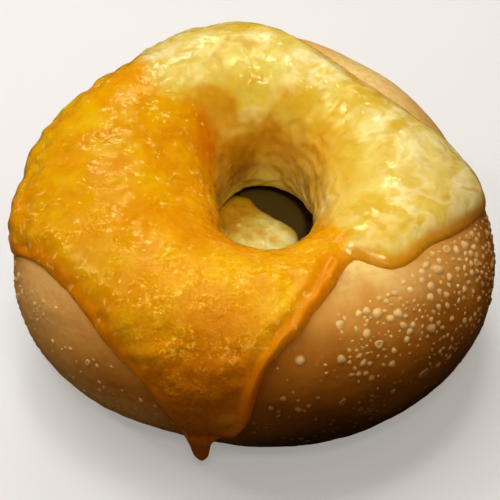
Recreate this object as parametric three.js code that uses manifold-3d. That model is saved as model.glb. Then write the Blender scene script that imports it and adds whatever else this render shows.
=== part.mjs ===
// A bagel with two kinds of cheese melted over it, and the cheese that ran down its hole.
// Millimetres, +Z up. The bagel rests on z = 0, and its bounding box is centred on the Z axis.
//
// Every place on the ring is given by two angles in degrees. The azimuth runs counter-clockwise
// seen from above, with +X at 0 and the front at 270. The tube angle runs round the section of
// the ring: 0 is outwards, 90 is on top and 180 is on the wall of the hole.
import * as THREE from 'three';
import { mergeVertices } from 'three/addons/utils/BufferGeometryUtils.js';
import Module from 'manifold-3d';

const wasm = await Module();
wasm.setup();

// The ring of dough, rolled by hand, so its rim is not quite a circle and its hole is oval.
const RING_CENTRE = { x: 0.22, y: -0.68 };
const RING_HEIGHT = 42;
const OUTER_RADIUS = 54;
const RIM_WAVES = [
  { turns: 2, cos: 0.45, sin: -0.65 },
  { turns: 3, cos: -0.28, sin: -1.93 },
  { turns: 5, cos: -0.19, sin: 0 },
  { turns: 6, cos: -0.13, sin: -0.47 },
];
const RIM_SWELLS = [
  { azimuth: 204, height: 0.9, reach: 13 },
  { azimuth: 0, height: 0.4, reach: 12 },
];
const HOLE = { x: 3, y: 5, halfWidth: 13.9, halfDepth: 19.5 };
const SECTION_POWER = 2.15;
const BASE_PRESS = 1.1;
const BREAD_COLUMNS = 80;
const BREAD_ROWS = 26;

// The blisters that boiling and baking raise on the crust.
const BLISTER_SEED = 11;
const BLISTER_LOWEST = -58;
const BLISTER_RISE = 0.45;
const BLISTER_SUNK = 0.1;
const BLISTER_SIDES = 6;
const BLISTER_MARGIN = 1.2;
const LARGE_BLISTERS = [
  { azimuth: 326, tube: 64, radius: 1.65 }, { azimuth: 322, tube: 70, radius: 1.15 },
  { azimuth: 327, tube: 56, radius: 1.25 }, { azimuth: 323, tube: 51, radius: 1.25 },
  { azimuth: 321, tube: 61, radius: 1.3 }, { azimuth: 333, tube: 56, radius: 0.9 },
  { azimuth: 331, tube: 30, radius: 1 }, { azimuth: 325, tube: 43, radius: 1 },
  { azimuth: 321, tube: 38, radius: 1 }, { azimuth: 309, tube: 60, radius: 1.3 },
  { azimuth: 304, tube: 66, radius: 1.4 }, { azimuth: 299, tube: 58, radius: 1.3 },
  { azimuth: 293, tube: 68, radius: 1.2 }, { azimuth: 308, tube: 45, radius: 1 },
  { azimuth: 301, tube: 50, radius: 1.2 }, { azimuth: 304, tube: 43, radius: 1.1 },
  { azimuth: 315, tube: 42, radius: 1.4 }, { azimuth: 291, tube: 49, radius: 1.2 },
  { azimuth: 296, tube: 43, radius: 1 }, { azimuth: 281, tube: 52, radius: 1.2 },
  { azimuth: 310, tube: 18, radius: 1.7 }, { azimuth: 302, tube: 17, radius: 1 },
  { azimuth: 290, tube: 22, radius: 1.1 }, { azimuth: 294, tube: 12, radius: 1.1 },
  { azimuth: 280, tube: 21, radius: 1 }, { azimuth: 205, tube: 24, radius: 1 },
  { azimuth: 230, tube: 24, radius: 1 },
];
const BLISTER_PATCHES = [
  { from: 330, to: 356, count: 12, smallest: 0.9, largest: 1.3 },
  { from: 356, to: 425, count: 12, smallest: 0.9, largest: 1.3 },
  { from: 65, to: 200, count: 8, smallest: 0.9, largest: 1.2 },
  { from: 200, to: 245, count: 6, smallest: 0.9, largest: 1.3 },
];

// The cheese. Its outer edge is the tube angle down to which it ran, by azimuth.
const CHEESE_CLEARANCE = 0.7;
const CHEESE_THICKNESS = 1.8;
const WALL_THINNING = { share: 0.45, from: 120, to: 180 };
const EDGE_ROUND = 1.8;
const EDGE_LEAST = 0.45;
const EDGE_THINNING = { share: 0.3, from: 1.3, to: 5.2 };
const EDGE_POINTS_PER_DEGREE = 4;
const SEAM_CLEARANCE = 0.34;
const OUTER_EDGE = [
  [4, 36], [12, 42], [17, 54], [21, 66], [28, 75], [36, 84], [49, 88], [58, 85], [66, 78],
  [76, 66], [84, 50], [100, 28], [130, 6], [160, 4], [184, 12], [193, 21], [198, 33],
  [203, 43], [209, 49], [217, 51], [226, 47], [234, 39], [242, 29], [246, 21], [249, 10],
  [252, -4], [255, -9], [262, -9], [266, -5], [269, 12], [271, 35], [273, 48], [278, 61],
  [283, 70], [287, 78], [297, 92], [304, 100], [308, 102], [310, 99], [312, 92], [316, 82],
  [319, 79], [328, 76], [333, 71], [343, 57], [351, 44], [356, 36],
];
const INNER_EDGE = { middle: 204, swing: 12 };

// Where the two kinds meet: how far the seam leaves its azimuth, by tube angle.
const LEFT_SEAM = 127;
const LEFT_SEAM_SHIFT = [[54, 0], [86, 10], [102, 14], [116, 12], [122, 8], [141, 12], [167, 36], [200, 48]];
const RIGHT_SEAM = 306;
const RIGHT_SEAM_SHIFT = [[99, 0], [108, 2], [114, 9], [126, 13], [138, 14], [172, 38], [200, 46]];
const COLUMN_STEP = 3.4;
const FINE_COLUMN_STEP = 1.2;
const FINE_COLUMNS = { from: 246, to: 282 };
const CHEESE_ROWS = 12;
const PLAIN_EDGE = 45;
const ROW_CROWDING = 1.15;

// Swellings of the cheese: a thick rolled lip along parts of its edge, and single lumps.
const LIP_HEIGHT = [
  [190, 0.1], [208, 0.5], [222, 0.1], [262, 0], [276, 0.1], [300, 0.2], [318, 0.4], [340, 0.6],
  [364, 0.8], [380, 0.2], [440, 0.3], [470, 0],
];
const LIP_WIDTH = 2.2;
const LIP_PLACE = 3.1;
const LUMPS = [
  { azimuth: 358, tube: 44, height: 0.8, reach: 5 },
  { azimuth: 8, tube: 52, height: -0.5, reach: 4 },
  { azimuth: 128, tube: 35, height: -0.7, reach: 8 },
  { azimuth: 154, tube: 30, height: 0.3, reach: 5 },
  { azimuth: 174, tube: 26, height: -1.2, reach: 5.5 },
  { azimuth: 193, tube: 30, height: 0.8, reach: 5 },
  { azimuth: 206, tube: 52, height: 0.5, reach: 5 },
  { azimuth: 198, tube: 162, height: 1.1, reach: 6 },
  { azimuth: 262, tube: 40, height: 0.5, reach: 7 },
  { azimuth: 240, tube: 70, height: 0.5, reach: 8 },
  { azimuth: 60, tube: 130, height: 0.8, reach: 7 },
  { azimuth: 95, tube: 140, height: 0.9, reach: 6 },
];
const RIPPLE_HEIGHT = 0.22;
const RIPPLES = [{ turns: 11, lean: 3 }, { turns: 7, lean: -5 }];

// The drip that hangs free below the tongue of orange cheese: [half width, height].
const DRIP_AZIMUTH = 257.8;
const DRIP_LIFT = 1.7;
const DRIP_FLATNESS = 0.4;
const DRIP_PROFILE = [
  [0, 5.8], [0.5, 6.1], [1.1, 7.2], [1.7, 8.6], [2, 10.6], [2.4, 13], [3, 14.6], [3.6, 16.2],
  [3.9, 18], [3.2, 20.2], [0, 21.8],
];
const DRIP_SIDES = 10;

// The cheese that ran through the hole and set on the surface below, from its own centre.
const POOL_CENTRE = { x: -2, y: 12 };
const POOL_OUTLINE = [
  [8, 14], [30, 12], [44, 10.9], [61, 10.8], [74, 11.8], [86, 14.5], [107, 16], [138, 14.6],
  [180, 12.6], [216, 13], [252, 12.4], [294, 12], [333, 13.4],
];
const POOL_THICKNESS = 2.6;
const POOL_CLIMB = { height: 4.6, from: -4, to: -14 };
const POOL_RIM_DROP = 0.7;
const POOL_CLEARANCE = 0.45;
const POOL_SIDES = 30;
const POOL_RINGS = 4;

const radians = THREE.MathUtils.degToRad;

// A smooth curve through [place, value] pairs that never overshoots them. With a period the
// curve repeats, otherwise it stays level past its ends.
function smoothThrough(points, period = 0) {
  const knots = period
    ? [-1, 0, 1].flatMap((turn) => points.map(([at, value]) => [at + turn * period, value]))
    : points;
  const rise = (k) => (knots[k + 1][1] - knots[k][1]) / (knots[k + 1][0] - knots[k][0]);
  const slope = knots.map((knot, k) => {
    if (k === 0 || k === knots.length - 1) return 0;
    const before = rise(k - 1);
    const after = rise(k);
    return before * after > 0 ? (2 * before * after) / (before + after) : 0;
  });
  return (place) => {
    const x = period ? THREE.MathUtils.euclideanModulo(place, period) : place;
    const next = knots.findIndex((knot) => knot[0] > x);
    if (next === 0) return knots[0][1];
    if (next < 0) return knots[knots.length - 1][1];
    const k = next - 1;
    const width = knots[k + 1][0] - knots[k][0];
    const s = (x - knots[k][0]) / width;
    return (1 + 2 * s) * (1 - s) ** 2 * knots[k][1] + s * (1 - s) ** 2 * width * slope[k]
      + s * s * (3 - 2 * s) * knots[k + 1][1] + s * s * (s - 1) * width * slope[k + 1];
  };
}

const outerEdge = smoothThrough(OUTER_EDGE, 360);
const lipHeight = smoothThrough(LIP_HEIGHT);
const leftSeamShift = smoothThrough(LEFT_SEAM_SHIFT);
const rightSeamShift = smoothThrough(RIGHT_SEAM_SHIFT);
const poolOutline = smoothThrough(POOL_OUTLINE, 360);

function innerEdge(azimuth) {
  return INNER_EDGE.middle + INNER_EDGE.swing * Math.sin(radians(azimuth));
}

// The turn from one azimuth to another, from -180 to 180.
function turnBetween(azimuth, other) {
  return THREE.MathUtils.euclideanModulo(azimuth - other + 180, 360) - 180;
}

// The point of the ring's surface at two angles, raised by a lift along the section's normal.
function ringPoint(azimuth, tube, lift = 0) {
  const turn = radians(azimuth);
  let rim = OUTER_RADIUS;
  for (const wave of RIM_WAVES) {
    rim += wave.cos * Math.cos(wave.turns * turn) + wave.sin * Math.sin(wave.turns * turn);
  }
  for (const swell of RIM_SWELLS) {
    rim += swell.height * Math.exp(-((turnBetween(azimuth, swell.azimuth) / swell.reach) ** 2));
  }
  const outer = new THREE.Vector2(rim * Math.cos(turn), rim * Math.sin(turn));
  const inner = new THREE.Vector2(
    HOLE.x + HOLE.halfWidth * Math.cos(turn),
    HOLE.y + HOLE.halfDepth * Math.sin(turn),
  );
  const middle = outer.clone().add(inner).multiplyScalar(0.5);
  const outwards = outer.clone().sub(inner).normalize();
  const halfWidth = outer.distanceTo(inner) / 2;
  const across = Math.cos(radians(tube));
  const up = Math.sin(radians(tube));
  const halfHeight = (up < 0 ? BASE_PRESS : 1) * RING_HEIGHT / 2;
  const scale = (Math.abs(across) ** SECTION_POWER + Math.abs(up) ** SECTION_POWER) ** (-1 / SECTION_POWER);
  const normal = new THREE.Vector2(
    Math.sign(across) * Math.abs(across * scale) ** (SECTION_POWER - 1) / halfWidth,
    Math.sign(up) * Math.abs(up * scale) ** (SECTION_POWER - 1) / halfHeight,
  ).normalize();
  const distance = halfWidth * scale * across + lift * normal.x;
  const height = RING_HEIGHT / 2 + halfHeight * scale * up + lift * normal.y;
  return new THREE.Vector3(
    RING_CENTRE.x + middle.x + outwards.x * distance,
    RING_CENTRE.y + middle.y + outwards.y * distance,
    Math.max(height, -lift),
  );
}

// The ring's mean section, and the millimetres along it for one degree of tube angle.
const MIDDLE_RADIUS = (OUTER_RADIUS + (HOLE.halfWidth + HOLE.halfDepth) / 2) / 2;
const MIDDLE_HALF_WIDTH = OUTER_RADIUS - MIDDLE_RADIUS;
const TUBE_MM = radians(1) * MIDDLE_HALF_WIDTH;

// The distance between two places along the surface, in millimetres, near enough for lumps.
function surfaceGap(azimuth, tube, other) {
  const radius = MIDDLE_RADIUS + MIDDLE_HALF_WIDTH * Math.cos(radians(tube));
  const around = radians(turnBetween(azimuth, other.azimuth)) * radius;
  return Math.hypot(around, (tube - other.tube) * TUBE_MM);
}

// The cheese's outer edge as a line of points on the ring.
const EDGE_LINE = Array.from({ length: 360 * EDGE_POINTS_PER_DEGREE }, (_, point) => {
  const azimuth = point / EDGE_POINTS_PER_DEGREE;
  return ringPoint(azimuth, outerEdge(azimuth));
});

function cheeseThickness(azimuth, tube) {
  const place = ringPoint(azimuth, tube);
  const fromEdge = Math.min(...EDGE_LINE.map((point) => point.distanceTo(place)));
  const fromInner = (innerEdge(azimuth) - tube) * TUBE_MM;
  const onWall = THREE.MathUtils.smoothstep(tube, WALL_THINNING.from, WALL_THINNING.to);
  const thinning = 1 - WALL_THINNING.share * onWall;
  const lipPlace = azimuth < RIGHT_SEAM - 180 ? azimuth + 360 : azimuth;
  const lip = lipHeight(lipPlace) * Math.exp(-(((fromEdge - LIP_PLACE) / LIP_WIDTH) ** 2));
  const turn = radians(azimuth);
  let ripple = 0;
  for (const { turns, lean } of RIPPLES) {
    ripple += RIPPLE_HEIGHT * Math.sin(turns * turn + radians(lean * tube));
  }
  let lumps = 0;
  for (const lump of LUMPS) {
    lumps += lump.height * Math.exp(-((surfaceGap(azimuth, tube, lump) / lump.reach) ** 2));
  }
  const grown = THREE.MathUtils.smoothstep(fromEdge, EDGE_THINNING.from, EDGE_THINNING.to);
  const edgeShare = THREE.MathUtils.lerp(EDGE_THINNING.share, 1, grown);
  const full = (CHEESE_THICKNESS * thinning + lip + ripple + lumps) * edgeShare;
  const reach = Math.min(Math.max(Math.min(fromEdge, fromInner), 0) / EDGE_ROUND, 1);
  return Math.max(full * Math.sqrt(1 - (1 - reach) ** 2), EDGE_LEAST);
}

function geometryOf(positions, triangles) {
  const geometry = new THREE.BufferGeometry();
  geometry.setAttribute('position', new THREE.Float32BufferAttribute(positions, 3));
  geometry.setIndex(triangles);
  return geometry;
}

function solidOf(source) {
  const geometry = source.clone();
  geometry.deleteAttribute('normal');
  geometry.deleteAttribute('uv');
  const merged = mergeVertices(geometry, 1e-4);
  return new wasm.Manifold(new wasm.Mesh({
    numProp: 3,
    vertProperties: new Float32Array(merged.attributes.position.array),
    triVerts: new Uint32Array(merged.index.array),
  }));
}

function geometryOfSolid(solid) {
  const mesh = solid.getMesh();
  return geometryOf(Array.from(mesh.vertProperties), Array.from(mesh.triVerts));
}

// The whole ring as one closed surface of columns round it and rows round its section.
function ringGeometry(lift = 0) {
  const positions = [];
  const triangles = [];
  const at = (column, row) => (column % BREAD_COLUMNS) * BREAD_ROWS + (row % BREAD_ROWS);
  for (let column = 0; column < BREAD_COLUMNS; column += 1) {
    for (let row = 0; row < BREAD_ROWS; row += 1) {
      positions.push(...ringPoint((360 * column) / BREAD_COLUMNS, (360 * row) / BREAD_ROWS, lift));
      triangles.push(at(column, row), at(column + 1, row), at(column + 1, row + 1));
      triangles.push(at(column, row), at(column + 1, row + 1), at(column, row + 1));
    }
  }
  return geometryOf(positions, triangles);
}

// Repeatable numbers between 0 and 1.
function drawer(seed) {
  let state = seed;
  return () => {
    state = (state * 1664525 + 1013904223) % 4294967296;
    return state / 4294967296;
  };
}

// Whether bare crust lies all round a place, out to a radius.
function isBareCrust(azimuth, tube, radius) {
  const reach = radius + BLISTER_MARGIN;
  for (let side = 0; side < 8; side += 1) {
    const turn = (side * Math.PI) / 4;
    const nearAzimuth = azimuth + THREE.MathUtils.radToDeg((Math.cos(turn) * reach) / OUTER_RADIUS);
    const nearTube = tube + (Math.sin(turn) * reach) / TUBE_MM;
    if (nearTube > outerEdge(nearAzimuth) || nearTube < BLISTER_LOWEST) return false;
  }
  return true;
}

function blister(azimuth, tube, radius) {
  const centre = ringPoint(azimuth, tube, -BLISTER_SUNK);
  const outwards = ringPoint(azimuth, tube, 1).sub(ringPoint(azimuth, tube)).normalize();
  const dome = new THREE.SphereGeometry(radius, BLISTER_SIDES, 3);
  dome.rotateX(Math.PI / 2);
  dome.scale(1, 1, BLISTER_RISE);
  dome.applyQuaternion(new THREE.Quaternion().setFromUnitVectors(new THREE.Vector3(0, 0, 1), outwards));
  dome.translate(...centre);
  return dome;
}

function breadRing() {
  const draw = drawer(BLISTER_SEED);
  const solids = [solidOf(ringGeometry())];
  for (const { azimuth, tube, radius } of LARGE_BLISTERS) {
    solids.push(solidOf(blister(azimuth, tube, radius)));
  }
  for (const patch of BLISTER_PATCHES) {
    let made = 0;
    for (let tries = 0; tries < 60 * patch.count && made < patch.count; tries += 1) {
      const azimuth = THREE.MathUtils.lerp(patch.from, patch.to, draw());
      const tube = THREE.MathUtils.lerp(BLISTER_LOWEST, 90, draw());
      const radius = THREE.MathUtils.lerp(patch.smallest, patch.largest, draw() ** 2);
      if (isBareCrust(azimuth, tube, radius)) {
        solids.push(solidOf(blister(azimuth, tube, radius)));
        made += 1;
      }
    }
  }
  return geometryOfSolid(wasm.Manifold.union(solids));
}

// The azimuths of a sheet's columns, close together where its edge is steep.
function cheeseAzimuths(from, to) {
  const azimuths = [from];
  while (azimuths.at(-1) < to) {
    const last = azimuths.at(-1);
    const fine = last >= FINE_COLUMNS.from && last < FINE_COLUMNS.to;
    azimuths.push(last + (fine ? FINE_COLUMN_STEP : COLUMN_STEP));
  }
  azimuths[azimuths.length - 1] = to;
  return azimuths;
}

// A sheet of cheese as a closed shell between two seams, from azimuth to azimuth. The seams'
// shifts fade out across the sheet, so its outer edge stays at its azimuth. Its rows follow that
// edge near it and run level towards the hole.
function cheeseSheet(from, to, shiftAtFrom, shiftAtTo) {
  const positions = [];
  const triangles = [];
  const azimuths = cheeseAzimuths(from, to);
  const lastColumn = azimuths.length - 1;
  const rows = CHEESE_ROWS + 1;
  for (const side of ['outer', 'inner']) {
    for (const plain of azimuths) {
      const along = (plain - from) / (to - from);
      for (let row = 0; row < rows; row += 1) {
        const across = (row / CHEESE_ROWS) ** ROW_CROWDING;
        const tube = THREE.MathUtils.lerp(PLAIN_EDGE, innerEdge(plain), across)
          + (outerEdge(plain) - PLAIN_EDGE) * (1 - across) ** 2;
        const azimuth = plain + shiftAtFrom(tube) * (1 - along) ** 3 + shiftAtTo(tube) * along ** 3;
        const base = ringPoint(azimuth, tube);
        const inset = SEAM_CLEARANCE / Math.hypot(base.x - HOLE.x, base.y - HOLE.y);
        const clear = azimuth + THREE.MathUtils.radToDeg(inset) * (1 - 2 * along);
        const thickness = side === 'outer' ? cheeseThickness(azimuth, tube) : 0;
        positions.push(...ringPoint(clear, tube, CHEESE_CLEARANCE + thickness));
      }
    }
  }
  const at = (side, column, row) => (side * azimuths.length + column) * rows + row;
  const face = (a, b, c, d) => triangles.push(a, b, c, a, c, d);
  for (let column = 0; column < lastColumn; column += 1) {
    for (let row = 0; row < CHEESE_ROWS; row += 1) {
      face(at(0, column, row), at(0, column + 1, row), at(0, column + 1, row + 1), at(0, column, row + 1));
      face(at(1, column, row), at(1, column, row + 1), at(1, column + 1, row + 1), at(1, column + 1, row));
    }
    face(at(0, column, 0), at(1, column, 0), at(1, column + 1, 0), at(0, column + 1, 0));
    const last = CHEESE_ROWS;
    face(at(0, column, last), at(0, column + 1, last), at(1, column + 1, last), at(1, column, last));
  }
  for (let row = 0; row < CHEESE_ROWS; row += 1) {
    face(at(0, 0, row), at(0, 0, row + 1), at(1, 0, row + 1), at(1, 0, row));
    const end = lastColumn;
    face(at(0, end, row), at(1, end, row), at(1, end, row + 1), at(0, end, row + 1));
  }
  return geometryOf(positions, triangles);
}

function drip() {
  const profile = DRIP_PROFILE.map(([halfWidth, height]) => new THREE.Vector2(halfWidth, height));
  const geometry = new THREE.LatheGeometry(profile, DRIP_SIDES);
  geometry.rotateX(Math.PI / 2);
  geometry.scale(DRIP_FLATNESS, 1, 1);
  geometry.rotateZ(radians(DRIP_AZIMUTH));
  const root = ringPoint(DRIP_AZIMUTH, 0, DRIP_LIFT);
  geometry.translate(root.x, root.y, 0);
  return geometry;
}

function orangeCheese() {
  const sheet = cheeseSheet(LEFT_SEAM, RIGHT_SEAM, leftSeamShift, rightSeamShift);
  return geometryOfSolid(solidOf(sheet).add(solidOf(drip())));
}

function paleCheese() {
  return cheeseSheet(RIGHT_SEAM, LEFT_SEAM + 360, rightSeamShift, leftSeamShift);
}

function cheesePool() {
  const positions = [0, 0, POOL_THICKNESS, 0, 0, 0];
  const triangles = [];
  const at = (side, ring) => 2 + (side % POOL_SIDES) * (POOL_RINGS + 1) + ring;
  for (let side = 0; side < POOL_SIDES; side += 1) {
    const direction = (360 * side) / POOL_SIDES;
    for (let ring = 1; ring <= POOL_RINGS; ring += 1) {
      const out = ring / POOL_RINGS;
      const x = out * poolOutline(direction) * Math.cos(radians(direction));
      const y = out * poolOutline(direction) * Math.sin(radians(direction));
      const left = -(x + POOL_CENTRE.x);
      const climb = POOL_CLIMB.height * THREE.MathUtils.smoothstep(left, -POOL_CLIMB.from, -POOL_CLIMB.to);
      positions.push(x, y, POOL_THICKNESS * (1 - POOL_RIM_DROP * out ** 4) + climb);
    }
    const rim = positions.slice(-3);
    positions.push(rim[0], rim[1], 0);
    triangles.push(0, at(side, 0), at(side + 1, 0));
    for (let ring = 0; ring < POOL_RINGS; ring += 1) {
      triangles.push(at(side, ring), at(side, ring + 1), at(side + 1, ring + 1));
      triangles.push(at(side, ring), at(side + 1, ring + 1), at(side + 1, ring));
    }
    triangles.push(1, at(side + 1, POOL_RINGS), at(side, POOL_RINGS));
  }
  const pool = geometryOf(positions, triangles);
  pool.translate(RING_CENTRE.x + POOL_CENTRE.x, RING_CENTRE.y + POOL_CENTRE.y, 0);
  return geometryOfSolid(solidOf(pool).subtract(solidOf(ringGeometry(POOL_CLEARANCE))));
}

function node(name, geometry, look) {
  const mesh = new THREE.Mesh(geometry, new THREE.MeshStandardMaterial(look));
  mesh.name = name;
  return mesh;
}

const bagel = new THREE.Group();
bagel.add(
  node('bread_ring', breadRing(), { color: 0xc49252, roughness: 0.55, metalness: 0 }),
  node('orange_cheese', orangeCheese(), { color: 0xeb9c0c, roughness: 0.3, metalness: 0 }),
  node('pale_cheese', paleCheese(), { color: 0xe2c468, roughness: 0.3, metalness: 0 }),
  node('cheese_pool', cheesePool(), { color: 0xe6cf86, roughness: 0.35, metalness: 0 }),
);

export default bagel;
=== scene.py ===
"""A bagel with two kinds of cheese melted over it, in a small studio.

Lengths are in metres and angles in degrees. A place on the ring is given by two angles: the
azimuth runs counter-clockwise seen from above, with +X at 0 and the front at 270, and the tube
angle runs round the section of the ring, with 0 outwards, 90 on top and 180 on the hole's wall.
"""

import logging
from dataclasses import dataclass, field
from enum import Enum
from itertools import product
from typing import Any, Iterator

import bpy
import numpy as np
from mathutils import Matrix, Vector, kdtree
from numpy.typing import NDArray


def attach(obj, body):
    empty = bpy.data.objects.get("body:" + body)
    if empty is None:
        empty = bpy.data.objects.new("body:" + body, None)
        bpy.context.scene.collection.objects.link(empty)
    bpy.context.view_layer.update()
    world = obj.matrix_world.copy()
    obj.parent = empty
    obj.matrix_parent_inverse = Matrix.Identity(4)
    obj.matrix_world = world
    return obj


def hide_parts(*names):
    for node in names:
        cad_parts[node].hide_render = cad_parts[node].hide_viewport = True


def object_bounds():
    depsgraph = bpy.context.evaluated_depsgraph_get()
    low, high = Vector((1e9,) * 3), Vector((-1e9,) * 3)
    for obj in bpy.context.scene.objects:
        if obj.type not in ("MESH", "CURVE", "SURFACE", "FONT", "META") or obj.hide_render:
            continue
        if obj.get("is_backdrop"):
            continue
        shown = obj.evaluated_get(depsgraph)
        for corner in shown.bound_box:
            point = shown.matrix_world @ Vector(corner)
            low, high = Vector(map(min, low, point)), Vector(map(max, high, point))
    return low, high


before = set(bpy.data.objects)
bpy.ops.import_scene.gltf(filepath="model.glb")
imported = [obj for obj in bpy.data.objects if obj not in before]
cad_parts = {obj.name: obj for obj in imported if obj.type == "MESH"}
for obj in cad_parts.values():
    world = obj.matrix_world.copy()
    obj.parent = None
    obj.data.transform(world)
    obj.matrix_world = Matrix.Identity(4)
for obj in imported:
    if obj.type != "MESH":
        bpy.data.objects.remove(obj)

log = logging.getLogger("bagel")
Floats = NDArray[np.float64]
Pairs = tuple[tuple[float, float], ...]
# Two numbers, such as where something starts and ends, or a place seen from above.
Span = tuple[float, float]
Triple = tuple[float, float, float]
Colour = tuple[float, float, float, float]
Tones = tuple[Colour, Colour]
# A colour and how much of it is laid over another one.
Glaze = tuple[Colour, float]
# An azimuth, a tube angle, how strong something is there, and its reach.
Spot = tuple[float, float, float, float]
# How strong something is on one side of the ring, that side's azimuth, and its reach.
Side = tuple[float, float, float]

MM = 0.001
BODY = "root"


def smoothstep(value: Floats | float, low: float, high: float) -> Floats:
    """Rises smoothly from 0 to 1.

    Args:
        value: What is read.
        low: Where the rise starts. It may be above high, for a fall.
        high: Where the rise ends.

    Returns:
        The share of the rise at each value.
    """
    share = np.clip((np.asarray(value) - low) / (high - low), 0.0, 1.0)
    return share * share * (3.0 - 2.0 * share)


def bell(value: Floats, reach: float) -> Floats:
    """A smooth bump of height 1 at 0 that fades out over its reach."""
    return np.exp(-((value / reach) ** 2))


def turn_between(azimuth: Floats, other: Floats | float) -> Floats:
    """How far one azimuth is past another, from -180 to 180."""
    return np.mod(azimuth - other + 180.0, 360.0) - 180.0


def facing(azimuth: Floats, side: Side) -> Floats:
    """How strong something is that belongs to one side of the ring."""
    strength, middle, reach = side
    return strength * bell(turn_between(azimuth, middle), reach)


def blend(low: Floats | float, high: Floats | float, share: Floats) -> Floats:
    """The value a share of the way from low to high."""
    return low + (high - low) * share


@dataclass(frozen=True)
class SmoothCurve:
    """A smooth curve through places and values that never overshoots them.

    With a period the curve repeats, otherwise it stays level past its ends.
    """

    points: Pairs
    period: float = 0.0

    def __call__(self, places: Floats | float) -> Floats:
        """Reads the curve.

        Args:
            places: Where to read it.

        Returns:
            The value at each place.
        """
        turns = (-1, 0, 1) if self.period else (0,)
        at = np.array([p + turn * self.period for turn in turns for p, _ in self.points])
        value = np.array([v for _ in turns for _, v in self.points])
        rise = np.diff(value) / np.diff(at)
        before, after = rise[:-1], rise[1:]
        slope = np.zeros(len(at))
        steady = before * after > 0
        slope[1:-1][steady] = (2 * before * after)[steady] / (before + after)[steady]
        if self.period:
            x = np.mod(places, self.period)
        else:
            x = np.clip(places, at[0], at[-1])
        k = np.clip(np.searchsorted(at, x, side="right") - 1, 0, len(at) - 2)
        width = at[k + 1] - at[k]
        s = (x - at[k]) / width
        return (
            (1 + 2 * s) * (1 - s) ** 2 * value[k]
            + s * (1 - s) ** 2 * width * slope[k]
            + s * s * (3 - 2 * s) * value[k + 1]
            + s * s * (s - 1) * width * slope[k + 1]
        )


class Seed(Enum):
    """The starts of the random draws, one for each pattern."""

    SEAM = 3
    SWELL = 5
    PATCH = 7
    FINE = 11
    BEND = 13
    TOAST = 17
    CRUST = 23
    BLISTER_PLACES = 29
    BLISTER_FORMS = 30
    POOL = 31
    BAKE = 37
    EDGE = 41
    FOLD = 43


class Grain:
    """Smooth random values in space, about from -1 to 1 and the same on every run."""

    CELLS = 256
    STRENGTH = 1.7
    OCTAVE_SHIFT = 17.0
    CREST_SLOPE = 1.6
    DRIFT_SHIFTS = (0.0, 37.3, 71.9)

    def __init__(self, seed: Seed) -> None:
        """Draws the lattice.

        Args:
            seed: The start of the random draw.
        """
        draw = np.random.default_rng(seed.value)
        self.order = draw.permutation(self.CELLS)
        slopes = draw.normal(size=(self.CELLS, 3))
        self.slopes = slopes / np.linalg.norm(slopes, axis=1, keepdims=True)

    def __call__(self, places: Floats) -> Floats:
        """Reads the grain.

        Args:
            places: Points, with the lattice's cells one unit wide.

        Returns:
            The value at each point.
        """
        cell = np.floor(places).astype(np.int64)
        part = places - cell
        fade = part**3 * (part * (part * 6 - 15) + 10)
        total = np.zeros(len(places))
        for corner in product((0, 1), repeat=3):
            x, y, z = ((cell + corner) % self.CELLS).T
            index = self.order[(self.order[(self.order[x] + y) % self.CELLS] + z) % self.CELLS]
            lean = ((part - corner) * self.slopes[index]).sum(axis=1)
            total += lean * np.where(corner, fade, 1 - fade).prod(axis=1)
        return self.STRENGTH * total

    def rough(self, places: Floats, octaves: int = 3) -> Floats:
        """The grain with finer grain on it, each octave half as wide and half as high."""
        return sum(self(places * 2.0**k + self.OCTAVE_SHIFT * k) / 2.0**k for k in range(octaves))

    def crests(self, places: Floats) -> Floats:
        """Narrow crests between round hollows, from 0 to 1."""
        return np.clip(1.0 - self.CREST_SLOPE * np.abs(self(places)), 0.0, 1.0)

    def drift(self, places: Floats) -> Floats:
        """Three smooth random values at each point, to bend another pattern with."""
        return np.stack([self(places + shift) for shift in self.DRIFT_SHIFTS], axis=1)


@dataclass(frozen=True)
class Pattern:
    """A random pattern: its draw, its width and height, how much it bends, and its shift."""

    seed: Seed
    width: float
    height: float = 1.0
    bend: float = 0.0
    shift: float = 0.0

    def read(self, places: Floats, wander: Floats | float = 0.0) -> Floats:
        """The pattern, about from -1 to 1, at places in the unit of its width."""
        return Grain(self.seed)(places / self.width + self.bend * wander + self.shift)

    def raised(self, places: Floats) -> Floats:
        """The pattern at its own height."""
        return self.height * self.read(places)

    def rough(self, places: Floats, octaves: int = 3) -> Floats:
        """The pattern at its own height, with finer ones on it."""
        return self.height * Grain(self.seed).rough(places / self.width + self.shift, octaves)


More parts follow.
